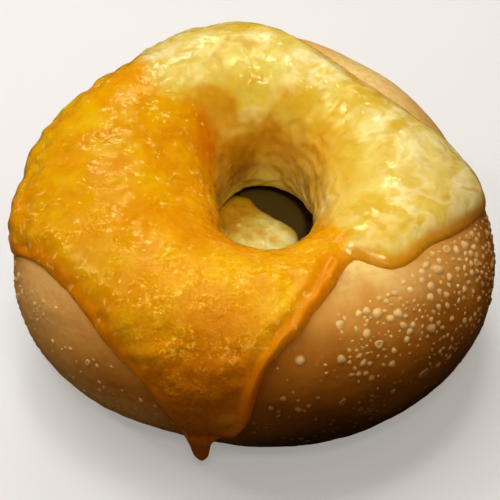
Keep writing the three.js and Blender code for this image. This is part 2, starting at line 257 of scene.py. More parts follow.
@dataclass(frozen=True)
class Ring:
    """The form of the ring of dough: its rim is not quite a circle and its hole is oval."""

    centre: Span = (0.22 * MM, -0.68 * MM)
    height: float = 42 * MM
    outer_radius: float = 54 * MM
    # How often each wave runs around the rim, and the heights of its cosine and its sine.
    rim_waves: tuple[Triple, ...] = (
        (2, 0.45 * MM, -0.65 * MM),
        (3, -0.28 * MM, -1.93 * MM),
        (5, -0.19 * MM, 0.0),
        (6, -0.13 * MM, -0.47 * MM),
    )
    rim_swells: tuple[Side, ...] = (
        (0.9 * MM, 204, 13),
        (0.4 * MM, 0, 12),
    )
    hole_centre: Span = (3 * MM, 5 * MM)
    hole_half_width: float = 13.9 * MM
    hole_half_depth: float = 19.5 * MM
    section_power: float = 2.15
    base_press: float = 1.1

    @property
    def middle_radius(self) -> float:
        """The radius of the line in the middle of the dough."""
        hole_radius = (self.hole_half_width + self.hole_half_depth) / 2
        return (self.outer_radius + hole_radius) / 2

    @property
    def tube_length(self) -> float:
        """The length along the mean section for one degree of tube angle."""
        return float(np.radians(1.0)) * (self.outer_radius - self.middle_radius)

    def point(self, azimuth: Floats, tube: Floats, lift: Floats | float = 0.0) -> Floats:
        """Points of the ring's surface.

        Args:
            azimuth: The azimuths.
            tube: The tube angles.
            lift: How far the points are raised along the section's normal.

        Returns:
            The points, one a row.
        """
        azimuth, tube, lift = np.broadcast_arrays(azimuth, tube, lift)
        turn = np.radians(azimuth)
        rim = np.full(turn.shape, self.outer_radius)
        for turns, cos, sin in self.rim_waves:
            rim = rim + cos * np.cos(turns * turn) + sin * np.sin(turns * turn)
        for swell in self.rim_swells:
            rim = rim + facing(azimuth, swell)
        outer = np.stack([rim * np.cos(turn), rim * np.sin(turn)], axis=-1)
        inner = np.stack(
            [
                self.hole_centre[0] + self.hole_half_width * np.cos(turn),
                self.hole_centre[1] + self.hole_half_depth * np.sin(turn),
            ],
            axis=-1,
        )
        half_width = np.linalg.norm(outer - inner, axis=-1) / 2
        outwards = (outer - inner) / (2 * half_width)[..., None]
        across, up = np.cos(np.radians(tube)), np.sin(np.radians(tube))
        half_height = np.where(up < 0, self.base_press, 1.0) * self.height / 2
        power = self.section_power
        scale = (np.abs(across) ** power + np.abs(up) ** power) ** (-1 / power)
        normal_out = np.sign(across) * np.abs(across * scale) ** (power - 1) / half_width
        normal_up = np.sign(up) * np.abs(up * scale) ** (power - 1) / half_height
        length = np.hypot(normal_out, normal_up)
        distance = half_width * scale * across + lift * normal_out / length
        level = self.height / 2 + half_height * scale * up + lift * normal_up / length
        flat = np.array(self.centre) + (outer + inner) / 2 + outwards * distance[..., None]
        return np.concatenate([flat, np.maximum(level, -lift)[..., None]], axis=-1)

    def normal(self, azimuth: Floats, tube: Floats) -> Floats:
        """The directions straight out of the surface."""
        out = self.point(azimuth, tube, MM) - self.point(azimuth, tube, 0.0)
        return out / np.linalg.norm(out, axis=-1, keepdims=True)

    def hole_distance(self, points: Floats) -> Floats:
        """How far points are from the middle of the hole, seen from above."""
        return np.hypot(points[..., 0] - self.hole_centre[0], points[..., 1] - self.hole_centre[1])

    def surface_gap(self, azimuth: Floats, tube: Floats, place: float, level: float) -> Floats:
        """How far places are from one place along the surface, near enough for lumps.

        Args:
            azimuth: The azimuths.
            tube: The tube angles.
            place: The one place's azimuth.
            level: The one place's tube angle.

        Returns:
            The distances.
        """
        radius = self.middle_radius + (self.outer_radius - self.middle_radius) * np.cos(np.radians(tube))
        around = np.radians(turn_between(azimuth, place)) * radius
        return np.hypot(around, (tube - level) * self.tube_length)

    def near(self, azimuth: Floats, tube: Floats, spot: Spot) -> Floats:
        """How strong something is that belongs to one spot."""
        place, level, strength, reach = spot
        return strength * bell(self.surface_gap(azimuth, tube, place, level), reach)


@dataclass(frozen=True)
class Drip:
    """The drip that hangs free below the tongue of orange cheese."""

    azimuth: float = 257.8
    start: float = -8.0
    lift: float = 1.2 * MM
    flatness: float = 0.6
    deepest: float = 1.0 * MM
    reach: float = 6.6 * MM
    blend_width: float = 2.4 * MM
    loosening: Span = (5.0, -7.0)
    # Half the drip's width and the height above the floor, from its tip upwards.
    profile: Pairs = (
        (0.0, 5.8 * MM),
        (0.5 * MM, 6.1 * MM),
        (1.1 * MM, 7.2 * MM),
        (1.7 * MM, 8.6 * MM),
        (2.0 * MM, 10.6 * MM),
        (2.3 * MM, 13 * MM),
        (2.6 * MM, 15 * MM),
        (3.1 * MM, 16.3 * MM),
        (4.0 * MM, 17.2 * MM),
        (5.4 * MM, 18.2 * MM),
        (7.2 * MM, 19.4 * MM),
    )

    def side(self, ring: Ring, azimuth: Floats) -> Floats:
        """How far azimuths are from the drip's middle, along the rim."""
        return np.radians(turn_between(azimuth, self.azimuth)) * (ring.outer_radius + self.lift)

    def lowest_tube(self, ring: Ring, azimuth: Floats) -> Floats:
        """The tube angle that the drip's outline reaches.

        Args:
            ring: The ring that it hangs from.
            azimuth: The azimuths.

        Returns:
            The tube angles, which lie on the sheet's own edge away from the drip.
        """
        root = ring.point(self.azimuth, self.start, self.lift)[..., 2]
        outline = SmoothCurve(self.profile)
        fall = (root - outline(np.abs(self.side(ring, azimuth)))) / ring.tube_length
        return self.start - fall

    def half_depth(self, ring: Ring, azimuth: Floats, height: Floats) -> Floats:
        """Half the drip's thickness from front to back.

        Args:
            ring: The ring that it hangs from.
            azimuth: The azimuths.
            height: The heights above the floor.

        Returns:
            The half thicknesses.
        """
        widths = np.array([width for width, _ in self.profile])
        heights = np.array([level for _, level in self.profile])
        half_width = np.interp(height, heights, widths)
        side = self.side(ring, azimuth)
        depth = self.flatness * np.sqrt(np.clip(half_width**2 - side**2, 0.0, None))
        return self.deepest * np.tanh(depth / self.deepest)

    def share(self, ring: Ring, azimuth: Floats, tube: Floats) -> Floats:
        """How much each place hangs free with the drip, from 0 to 1."""
        side = np.abs(self.side(ring, azimuth))
        beside = smoothstep(side, self.reach, self.reach - self.blend_width)
        held, free = self.loosening
        return smoothstep(tube, self.start + held, self.start + free) * beside


class CheeseKind(Enum):
    """The two kinds of cheese on the ring."""

    ORANGE = "orange_melt"
    PALE = "pale_melt"


@dataclass(frozen=True)
class Seam:
    """Where the two kinds meet: an azimuth, and how far the line leaves it by tube angle."""

    azimuth: float
    shift: SmoothCurve

    def at(self, tube: Floats) -> Floats:
        """The seam's azimuth at tube angles."""
        return self.azimuth + self.shift(tube)


LEFT_SEAM = Seam(
    127.0,
    SmoothCurve(((54, 0), (86, 10), (102, 14), (116, 12), (122, 8), (141, 12), (167, 36), (200, 48))),
)
RIGHT_SEAM = Seam(
    306.0,
    SmoothCurve(((99, 0), (108, 2), (114, 9), (126, 13), (138, 14), (172, 38), (200, 46))),
)


@dataclass(frozen=True)
class SkinPlaces:
    """Places on the cheese's skin, and what the cheese is like there."""

    ring: Ring
    azimuth: Floats
    tube: Floats
    surface: Floats
    ground: Floats
    from_edge: Floats
    orange: Floats

    def near(self, spot: Spot) -> Floats:
        """How strong something is that belongs to one spot."""
        return self.ring.near(self.azimuth, self.tube, spot)

    def facing(self, side: Side) -> Floats:
        """How strong something is that belongs to one side of the ring."""
        return facing(self.azimuth, side)

    def gap(self, place: float, level: float) -> Floats:
        """How far the places are from one azimuth and tube angle."""
        return self.ring.surface_gap(self.azimuth, self.tube, place, level)

    def between(self, tubes: Span) -> Floats:
        """How far the places have come from one tube angle to another, from 0 to 1."""
        return smoothstep(self.tube, *tubes)

    def unrolled(self, widths: Span) -> Floats:
        """The places on the skin laid flat, in widths of a wrinkle around and across the ring."""
        around = np.radians(self.azimuth) * self.ring.middle_radius / MM
        across = self.tube * self.ring.tube_length / MM
        return np.stack([around / widths[0], across / widths[1], np.zeros(len(around))], axis=1)


@dataclass(frozen=True)
class Wrinkles:
    """The small relief of the cheese's skin, with widths and heights in millimetres."""

    wander_width: float = 6.0
    swells: Pattern = Pattern(Seed.SWELL, 8.5, 0.3)
    rim_lumps: Pattern = Pattern(Seed.SWELL, 3.7, 0.75, shift=4.0)
    rim_tubes: Span = (74.0, 40.0)
    small_lumps: Pattern = Pattern(Seed.SWELL, 2.4, 0.14, shift=9.0)
    pimples: Pattern = Pattern(Seed.FINE, 1.35, 0.2, bend=0.5)
    pimple_patches: Pattern = Pattern(Seed.PATCH, 7.0)
    pimple_rise: Span = (-0.1, 0.7)
    pimpled_front: Spot = (258, 58, 1.0, 17 * MM)
    pimpled_left: Spot = (205, 85, 0.75, 20 * MM)
    runs: Pattern = Pattern(Seed.FINE, 1.0, 0.3, bend=0.7)
    run_widths: Span = (8.0, 2.6)
    wall_tubes: Span = (120.0, 150.0)
    folds: Pattern = Pattern(Seed.FINE, 1.0, 0.2, bend=0.8, shift=6.0)
    fold_widths: Span = (6.5, 2.0)
    brim_tubes: Span = (118.0, 96.0)
    least_folded: float = 0.3
    dimples: Pattern = Pattern(Seed.FINE, 2.3, 0.13, bend=0.6, shift=9.0)
    fine_dimples: Pattern = Pattern(Seed.FINE, 1.15, 0.35)
    curls: Pattern = Pattern(Seed.FINE, 3.4, 0.08, bend=1.3, shift=3.0)
    curl_width: float = 0.32
    curl_patches: Pattern = Pattern(Seed.PATCH, 8.0, shift=5.0)
    curl_rise: Span = (-0.3, 0.3)
    crinkle_patches: Pattern = Pattern(Seed.PATCH, 6.0, shift=11.0)
    patch_rise: Span = (0.0, 0.5)
    plain_spot: Spot = (338, 124, 1.0, 9 * MM)
    calm_wall: float = 0.75
    dimple_crest: float = 0.7
    curl_crest: float = 0.4
    crest_rise: Span = (0.15, 0.9)
    quiet: Side = (0.6, 258.0, 14.0)
    quiet_tubes: Span = (52.0, 34.0)

    def read(self, at: SkinPlaces) -> tuple[Floats, Floats, Floats]:
        """Reads the relief.

        Args:
            at: The places.

        Returns:
            The relief's height, how much of a crest each place is, and how crinkled the skin is
            there, both from 0 to 1.
        """
        places = at.surface / MM
        wander = Grain(Seed.BEND).drift(places / self.wander_width)
        rim = at.between(self.rim_tubes)
        lumps = self.swells.rough(places)
        lumps = lumps + rim * at.orange * self.rim_lumps.raised(places)
        lumps = lumps + at.orange * self.small_lumps.raised(places)

        patches = smoothstep(self.pimple_patches.read(places), *self.patch_rise)
        pimpled = patches * at.near(self.pimpled_left) + at.near(self.pimpled_front)
        pimpled = np.clip(pimpled, 0.0, 1.0)
        orange_crest = smoothstep(self.pimples.read(places, wander), *self.pimple_rise) * pimpled

        wall = at.between(self.wall_tubes)
        rough = 1.0 - at.near(self.plain_spot)
        still = 1.0 - self.calm_wall * wall
        curled = smoothstep(self.curl_patches.read(places), *self.curl_rise) * rough
        runs = self.runs.read(at.unrolled(self.run_widths), wander) * wall
        folds = self.folds.read(at.unrolled(self.fold_widths), wander) * at.between(self.brim_tubes)
        folds = folds * blend(self.least_folded, 1.0, curled)
        dimples = self.dimples.read(places, wander) + self.fine_dimples.raised(places)
        dimples = dimples * curled
        curls = bell(self.curls.read(places, wander), self.curl_width) * curled
        marks = self.dimples.height * dimples + self.curls.height * curls
        pale_relief = self.runs.height * runs + self.folds.height * folds + still * marks
        pale_crest = runs + folds + self.dimple_crest * dimples + self.curl_crest * curls
        pale_crest = smoothstep(pale_crest, *self.crest_rise)

        crinkly = smoothstep(self.crinkle_patches.read(places), *self.patch_rise) * rough * still
        calm = 1.0 - at.between(self.quiet_tubes) * at.facing(self.quiet)
        relief = calm * (lumps + blend(pale_relief, self.pimples.height * orange_crest, at.orange))
        crest = np.clip(blend(pale_crest, orange_crest, at.orange), 0.0, 1.0)
        return relief * MM, crest, blend(crinkly, pimpled, at.orange)


@dataclass
class MeltedSkin:
    """The upper surface of the melted cheese, the same for both kinds, and what it looks like.

    The two sheets read it at their own vertices, so that they run into each other unseen.
    """

    ring: Ring
    drip: Drip
    outer_edge: SmoothCurve = SmoothCurve(
        (
            (4, 36), (12, 42), (17, 54), (21, 65), (28, 73), (36, 81), (49, 85), (58, 82), (66, 75),
            (76, 63), (84, 48), (100, 28), (130, 6), (160, 4), (184, 12), (193, 21), (198, 33),
            (203, 43), (209, 49), (217, 51), (226, 47), (234, 39), (242, 29), (246, 21), (249, 10),
            (252, -4), (255, -9), (262, -9), (266, -5), (269, 12), (271, 35), (273, 48), (278, 61),
            (283, 70), (287, 78), (297, 92), (304, 100), (308, 102), (310, 99), (312, 92), (316, 82),
            (319, 79), (328, 76), (333, 71), (343, 57), (351, 44), (356, 36),
        ),
        period=360.0,
    )
    edge_step: float = 0.12
    ripples: Pattern = Pattern(Seed.EDGE, 4.5 * MM, 0.5)
    inner_middle: float = 204.0
    inner_swing: float = 12.0
    clearance: float = 0.7 * MM
    thickness: float = 1.8 * MM
    wall_thinning: float = 0.15
    thinning_tubes: Span = (120.0, 180.0)
    sink: float = 0.35 * MM
    edge_round: SmoothCurve = SmoothCurve(
        (
            (0, 2.2 * MM), (14, 2.6 * MM), (30, 4.2 * MM), (70, 4.2 * MM), (95, 2.4 * MM),
            (130, 1.8 * MM), (196, 1.8 * MM), (210, 2.6 * MM), (238, 2.6 * MM), (252, 1.8 * MM),
            (275, 1.6 * MM), (310, 1.7 * MM), (345, 2.1 * MM),
        ),
        period=360.0,
    )
    inner_round: float = 1.8 * MM
    sharp_round: Span = (2 * MM, 4 * MM)
    sharpness: float = 0.5
    edge_share: float = 0.4
    folded_share: float = 0.8
    edge_reach: Span = (1.0 * MM, 7.5 * MM)
    wrinkled_from: Span = (0.6 * MM, 3.2 * MM)
    crinkled_from: Span = (1.6 * MM, 3.0 * MM)
    lip_start: float = 126.0
    lip_height: SmoothCurve = SmoothCurve(
        (
            (190, 0.1 * MM), (208, 0.5 * MM), (222, 0.1 * MM), (262, 0.0), (276, 0.1 * MM),
            (300, 0.2 * MM), (318, 0.4 * MM), (340, 0.6 * MM), (364, 0.8 * MM), (380, 0.2 * MM),
            (440, 0.3 * MM), (470, 0.0),
        ),
    )
    lip_width: float = 2.2 * MM
    lip_middle: float = 1.4 * 2.2 * MM
    fold_start: Span = (262.0, 270.0)
    fold_end: Span = (307.0, 300.0)
    fold_waves: Pattern = Pattern(Seed.FOLD, 5 * MM, 0.6 * MM)
    # How far each wave of the fold is from the edge, its height and its reach.
    fold: tuple[Triple, ...] = (
        (1.4 * MM, 0.4 * MM, 1.0 * MM),
        (3.1 * MM, -0.12 * MM, 0.9 * MM),
        (4.9 * MM, 0.35 * MM, 1.2 * MM),
    )
    lumps: tuple[Spot, ...] = (
        (358, 44, 0.8 * MM, 5 * MM),
        (8, 52, -0.5 * MM, 4 * MM),
        (128, 35, -0.7 * MM, 8 * MM),
        (154, 30, 0.3 * MM, 5 * MM),
        (174, 26, -1.2 * MM, 5.5 * MM),
        (193, 30, 0.8 * MM, 5 * MM),
        (206, 52, 0.5 * MM, 5 * MM),
        (198, 162, 1.1 * MM, 6 * MM),
        (190, 190, 0.7 * MM, 8 * MM),
        (262, 40, 0.5 * MM, 7 * MM),
        (259, 77, 0.4 * MM, 1.8 * MM),
        (240, 70, 0.5 * MM, 8 * MM),
        (60, 130, 0.8 * MM, 7 * MM),
        (95, 140, 0.9 * MM, 6 * MM),
    )
    toasts: tuple[Spot, ...] = (
        (122, 127, 0.8, 4.5 * MM),
        (129, 119, 0.9, 3 * MM),
        (132, 128, 1.0, 3 * MM),
        (138, 136, 1.0, 3 * MM),
        (147, 145, 0.6, 3.5 * MM),
        (122, 137, 1.0, 4.5 * MM),
        (111, 149, -1.2, 2.2 * MM),
        (103, 138, -0.5, 3 * MM),
        (83, 155, 1.0, 3.5 * MM),
        (74, 129, 0.9, 2 * MM),
        (104, 166, 0.8, 6 * MM),
        (158, 140, 0.8, 5 * MM),
        (60, 170, 0.6, 7 * MM),
        (28, 142, 0.6, 8 * MM),
        (140, 172, 0.7, 7 * MM),
        (314, 88, 0.6, 5 * MM),
        (321, 84, 0.5, 5 * MM),
        (339, 72, 0.6, 6 * MM),
    )
    toast_strength: float = 0.75
    toast_raggedness: float = 0.35
    toast_clouds: Pattern = Pattern(Seed.TOAST, 7 * MM)
    cloud_toast: float = 0.25
    cloud_rise: Span = (0.2, 0.9)
    orange_cloud: float = 0.5
    wall_toast: float = 0.4
    wall_toast_tubes: Span = (112.0, 150.0)
    brim_toast: float = 0.2
    brim_tube: float = 116.0
    brim_reach: float = 20.0
    # Spots of painted shade on the hole's wall, deepest in the hollows of the relief.
    ambers: tuple[Spot, ...] = (
        (159, 146, 0.2, 4 * MM),
        (150, 160, 0.2, 4 * MM),
        (118, 184, 0.55, 5 * MM),
        (124, 172, 0.4, 5 * MM),
        (81, 152, 0.14, 4 * MM),
        (108, 158, 0.18, 5 * MM),
    )
    amber_relief: float = 0.8
    # Painted shade that deepens down the tongue towards its front, with the deeper amber of the thick
    # cheese there.
    tongue_shade: SmoothCurve = SmoothCurve(
        (
            (-56 * MM, 0.87), (-53 * MM, 0.84), (-51.3 * MM, 0.68), (-49.3 * MM, 0.7),
            (-46.7 * MM, 0.5), (-43.7 * MM, 0.28), (-40.3 * MM, 0.24), (-34.4 * MM, 0.18),
            (-29 * MM, 0.0),
        ),
    )
    tongue: Side = (1.0, 259.0, 16.0)
    # A lit spot low on the tongue, painted light that lifts some painted shade and some orange.
    lit_spot: Spot = (265.0, 15.0, 1.0, 2.6 * MM)
    lit_dusk: float = 0.35
    lit_orange: float = 0.5
    # Painted shade on the tongue's left side, fading in between the two flank heights.
    flank: Side = (0.13, 230.0, 50.0)
    flank_heights: Span = (43.5 * MM, 38 * MM)
    # How strong the groove's painted shade is, how far from the edge, and its reach. The film has the
    # same.
    groove: Triple = (0.18, 3.0 * MM, 2.4 * MM)
    film_start: Span = (240.0, 244.0)
    film_end: Span = (256.0, 252.0)
    film: Triple = (0.6, 0.5 * MM, 0.4 * MM)
    thin_widths: Span = (3.6 * MM, 6.0 * MM)
    thin_wide_end: Span = (268.0, 256.0)
    thin_fade: Span = (0.4, 1.0)
    thick_back: Side = (0.5, 52.0, 34.0)
    seam_softness: float = 2.6 * MM
    seam_waves: Pattern = Pattern(Seed.SEAM, 5 * MM, 1.6 * MM)
    edge_line: kdtree.KDTree = field(init=False)

    def __post_init__(self) -> None:
        """Lays out the cheese's outer edge for measuring distances from it."""
        azimuths = np.arange(0.0, 360.0, self.edge_step)
        line = self.base(azimuths, self.edge(azimuths), 0.0)
        self.edge_line = kdtree.KDTree(len(line))
        for number, place in enumerate(line):
            self.edge_line.insert(place, number)
        self.edge_line.balance()

    def edge(self, azimuth: Floats) -> Floats:
        """The tube angle of the outer edge, drip included."""
        turn = np.radians(azimuth)
        rim = np.stack([np.cos(turn), np.sin(turn), np.zeros(len(turn))], axis=1) * self.ring.outer_radius
        plain = self.outer_edge(azimuth) + self.ripples.rough(rim, 2)
        near = np.abs(self.drip.side(self.ring, azimuth)) < self.drip.reach
        return np.where(near, np.minimum(plain, self.drip.lowest_tube(self.ring, azimuth)), plain)

    def inner_edge(self, azimuth: Floats) -> Floats:
        """The tube angle on the hole's wall at which the cheese ends."""
        return self.inner_middle + self.inner_swing * np.sin(np.radians(azimuth))

    def base(self, azimuth: Floats, tube: Floats, lift: Floats | float) -> Floats:
        """Points above the ring, which hang straight down where the drip leaves it.

        Args:
            azimuth: The azimuths.
            tube: The tube angles.
            lift: How far the points are raised.

        Returns:
            The points, one a row.
        """
        fall = np.clip(self.drip.start - tube, 0.0, None) * self.ring.tube_length
        points = self.ring.point(azimuth, np.maximum(tube, self.drip.start), lift)
        points[..., 2] -= fall
        return points

    def edge_distance(self, places: Floats) -> Floats:
        """How far points on the ring are from the cheese's outer edge."""
        return np.array([self.edge_line.find(place)[2] for place in places])

    def orange_share(self, azimuth: Floats, tube: Floats) -> Floats:
        """How orange the cheese is.

        Args:
            azimuth: The azimuths.
            tube: The tube angles.

        Returns:
            0 where it is pale and 1 where it is orange, with a soft ragged change at the seams.
        """
        places = self.ring.point(azimuth, tube)
        scale = np.radians(1.0) * self.ring.hole_distance(places)
        past_left = turn_between(azimuth, LEFT_SEAM.at(tube)) * scale
        past_right = turn_between(RIGHT_SEAM.at(tube), azimuth) * scale
        inside = np.where(np.abs(past_left) < np.abs(past_right), past_left, past_right)
        inside = inside + self.seam_waves.rough(places)
        return smoothstep(inside, -self.seam_softness, self.seam_softness)

    def places(self, azimuth: Floats, tube: Floats) -> SkinPlaces:
        """Measures places on the skin.

        Args:
            azimuth: The azimuths.
            tube: The tube angles.

        Returns:
            The places, with what the cheese is like there.
        """
        ground = self.base(azimuth, tube, 0.0)
        return SkinPlaces(
            ring=self.ring,
            azimuth=azimuth,
            tube=tube,
            surface=self.ring.point(azimuth, tube),
            ground=ground,
            from_edge=self.edge_distance(ground),
            orange=self.orange_share(azimuth, tube),
        )

    def toast_at(self, at: SkinPlaces, orange: Floats) -> Floats:
        """How toasted the cheese is.

        Args:
            at: The places.
            orange: How orange the cheese is there.

        Returns:
            The shares, from 0 to 1.
        """
        cloudy = self.toast_clouds.rough(at.surface)
        clouds = self.cloud_toast * smoothstep(cloudy, *self.cloud_rise)
        toasted = clouds * (1.0 - self.orange_cloud * orange)
        toasted = toasted + self.wall_toast * at.between(self.wall_toast_tubes) * (1.0 - orange)
        toasted = toasted + self.brim_toast * bell(at.tube - self.brim_tube, self.brim_reach) * orange
        for place, level, share, reach in self.toasts:
            ragged = at.gap(place, level) * (1.0 + self.toast_raggedness * cloudy)
            toasted = toasted + self.toast_strength * share * bell(ragged, reach)
        return np.clip(toasted, 0.0, 1.0)

    def folded(self, at: SkinPlaces) -> Floats:
        """How much the cheese is folded along its edge, right of the tongue."""
        azimuth = np.mod(at.azimuth, 360.0)
        return smoothstep(azimuth, *self.fold_start) * smoothstep(azimuth, *self.fold_end)

    def thin_at(self, at: SkinPlaces) -> Floats:
        """How thin and amber the cheese is along its edge, from 0 to 1."""
        width = blend(*self.thin_widths, at.orange * smoothstep(at.azimuth, *self.thin_wide_end))
        thin = 1.0 - smoothstep(at.from_edge / width, *self.thin_fade)
        return thin * (1.0 - at.facing(self.thick_back))

    def dusk_at(self, at: SkinPlaces, relief: Floats) -> Floats:
        """How much painted shade darkens and reddens the cheese on the tongue, on its left side and in
        its hollows.

        Args:
            at: The places.
            relief: The height of the wrinkles there.

        Returns:
            The shares, from 0 to 1.
        """
        shade = self.tongue_shade(at.ground[:, 1]) * at.facing(self.tongue)
        shade = shade * (1.0 - self.lit_dusk * at.near(self.lit_spot))
        flank = smoothstep(at.ground[:, 2], *self.flank_heights) * at.facing(self.flank)
        depth, middle, width = self.groove
        groove = depth * self.folded(at) * bell(at.from_edge - middle, width)
        shade = np.maximum(shade, np.maximum(flank, groove) * at.orange)
        for place, level, share, reach in self.ambers:
            gap = at.gap(place, level) + self.amber_relief * relief
            shade = np.maximum(shade, share * bell(gap, reach))
        return shade

    def bleached(self, at: SkinPlaces) -> Floats:
        """How orange the cheese stays where painted light on a lit spot and a thin film along the tongue
        pale it.
        """
        strength, middle, reach = self.film
        film = smoothstep(at.azimuth, *self.film_start) * smoothstep(at.azimuth, *self.film_end)
        film = film * bell(at.from_edge - middle, reach)
        return at.orange * (1.0 - self.lit_orange * at.near(self.lit_spot)) * (1.0 - strength * film)

    def thickness_at(self, at: SkinPlaces) -> Floats:
        """How thick the cheese is away from its edges, with its rolled lip, its fold and its lumps.

        Args:
            at: The places.

        Returns:
            The thicknesses.
        """
        thinning = 1.0 - self.wall_thinning * at.between(self.thinning_tubes)
        lip_place = np.mod(at.azimuth - self.lip_start, 360.0) + self.lip_start
        lip = self.lip_height(lip_place) * bell(at.from_edge - self.lip_middle, self.lip_width)
        total = (self.clearance + self.thickness) * thinning + lip
        for lump in self.lumps:
            total = total + at.near(lump)
        folded = self.folded(at)
        share = blend(self.edge_share, self.folded_share, folded)
        total = total * blend(share, 1.0, smoothstep(at.from_edge, *self.edge_reach))
        wavy = at.from_edge + self.fold_waves.raised(at.surface)
        for place, height, reach in self.fold:
            total = total + height * folded * bell(wavy - place, reach)
        return total


@dataclass(frozen=True)
class SkinReading:
    """What the cheese's skin is like at a sheet's vertices."""

    points: Floats
    orange: Floats
    crest: Floats
    toast: Floats
    thin: Floats
    dusk: Floats
    crinkle: Floats


def add_grid(name: str, columns: int, rows: int) -> bpy.types.Object:
    """Adds a flat grid to be shaped.

    Args:
        name: The new piece's name.
        columns: The number of faces along X.
        rows: The number of faces along Y.

    Returns:
        The grid, one metre square about the origin.
    """
    bpy.ops.object.select_all(action="DESELECT")
    bpy.ops.mesh.primitive_grid_add(x_subdivisions=columns, y_subdivisions=rows, size=1)
    piece = bpy.context.active_object
    piece.name = name
    piece.data.name = name
    return piece


def read_places(piece: bpy.types.Object) -> Floats:
    """The places of a piece's vertices, one a row."""
    flat = np.zeros(len(piece.data.vertices) * 3)
    piece.data.vertices.foreach_get("co", flat)
    return flat.reshape(-1, 3)


def grid_steps(piece: bpy.types.Object, columns: int, rows: int) -> tuple[Any, Any]:
    """The column and the row of each vertex of a grid that is still flat."""
    places = read_places(piece)
    column = np.rint((places[:, 0] + 0.5) * columns).astype(int)
    row = np.rint((places[:, 1] + 0.5) * rows).astype(int)
    return column, row


def set_places(piece: bpy.types.Object, places: Floats) -> None:
    """Moves a piece's vertices."""
    piece.data.vertices.foreach_set("co", places.ravel())
    piece.data.update()


def set_shares(piece: bpy.types.Object, **shares: Floats) -> None:
    """Keeps values from 0 to 1 at a piece's vertices, each under its own name."""
    for name, values in shares.items():
        attribute = piece.data.attributes.new(name, "FLOAT", "POINT")
        attribute.data.foreach_set("value", np.asarray(values, dtype=np.float32))


def edit(piece: bpy.types.Object, mode: str = "VERT") -> None:
    """Opens a piece in edit mode with all of it selected."""
    bpy.ops.object.select_all(action="DESELECT")
    piece.select_set(True)
    bpy.context.view_layer.objects.active = piece
    bpy.ops.object.mode_set(mode="EDIT")
    bpy.ops.mesh.select_mode(type=mode)
    bpy.ops.mesh.select_all(action="SELECT")


def weld(piece: bpy.types.Object) -> None:
    """Merges the vertices that lie on each other and turns the faces outwards."""
    edit(piece)
    bpy.ops.mesh.remove_doubles(threshold=0.001 * MM)
    bpy.ops.mesh.normals_make_consistent(inside=False)
    bpy.ops.object.mode_set(mode="OBJECT")


def join(pieces: list[bpy.types.Object]) -> bpy.types.Object:
    """Joins pieces into the first of them."""
    bpy.ops.object.select_all(action="DESELECT")
    for piece in pieces:
        piece.select_set(True)
    bpy.context.view_layer.objects.active = pieces[0]
    bpy.ops.object.join()
    return pieces[0]


def bridge_rims(outside: bpy.types.Object, inside: bpy.types.Object) -> bpy.types.Object:
    """Closes two open sheets into one shell.

    Args:
        outside: The sheet on the outside, which keeps its name.
        inside: The sheet under it, which is used up.

    Returns:
        The shell.
    """
    shell = join([outside, inside])
    edit(shell, "EDGE")
    bpy.ops.mesh.select_all(action="DESELECT")
    bpy.ops.mesh.select_non_manifold(
        extend=False, use_wire=False, use_boundary=True, use_multi_face=False,
        use_non_contiguous=False, use_verts=False,
    )
    bpy.ops.mesh.bridge_edge_loops()
    bpy.ops.mesh.select_all(action="SELECT")
    bpy.ops.mesh.normals_make_consistent(inside=False)
    bpy.ops.object.mode_set(mode="OBJECT")
    return shell


def smooth(piece: bpy.types.Object) -> None:
    """Shades a piece smooth."""
    bpy.ops.object.select_all(action="DESELECT")
    piece.select_set(True)
    bpy.context.view_layer.objects.active = piece
    bpy.ops.object.shade_smooth()


def hand_over(piece: bpy.types.Object, material: bpy.types.Material, slot: str, *nodes: str) -> None:
    """Finishes a piece, hides the nodes that it stands for and attaches it to the body.

    Args:
        piece: The piece.
        material: Its finish.
        slot: The slot for that finish; it is not used.
        nodes: The nodes that it stands for.
    """
    piece.data.materials.clear()
    piece.data.materials.append(material)
    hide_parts(*nodes)
    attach(piece, BODY)
    piece.data.calc_loop_triangles()
    log.info("%s: %d triangles", piece.name, len(piece.data.loop_triangles))


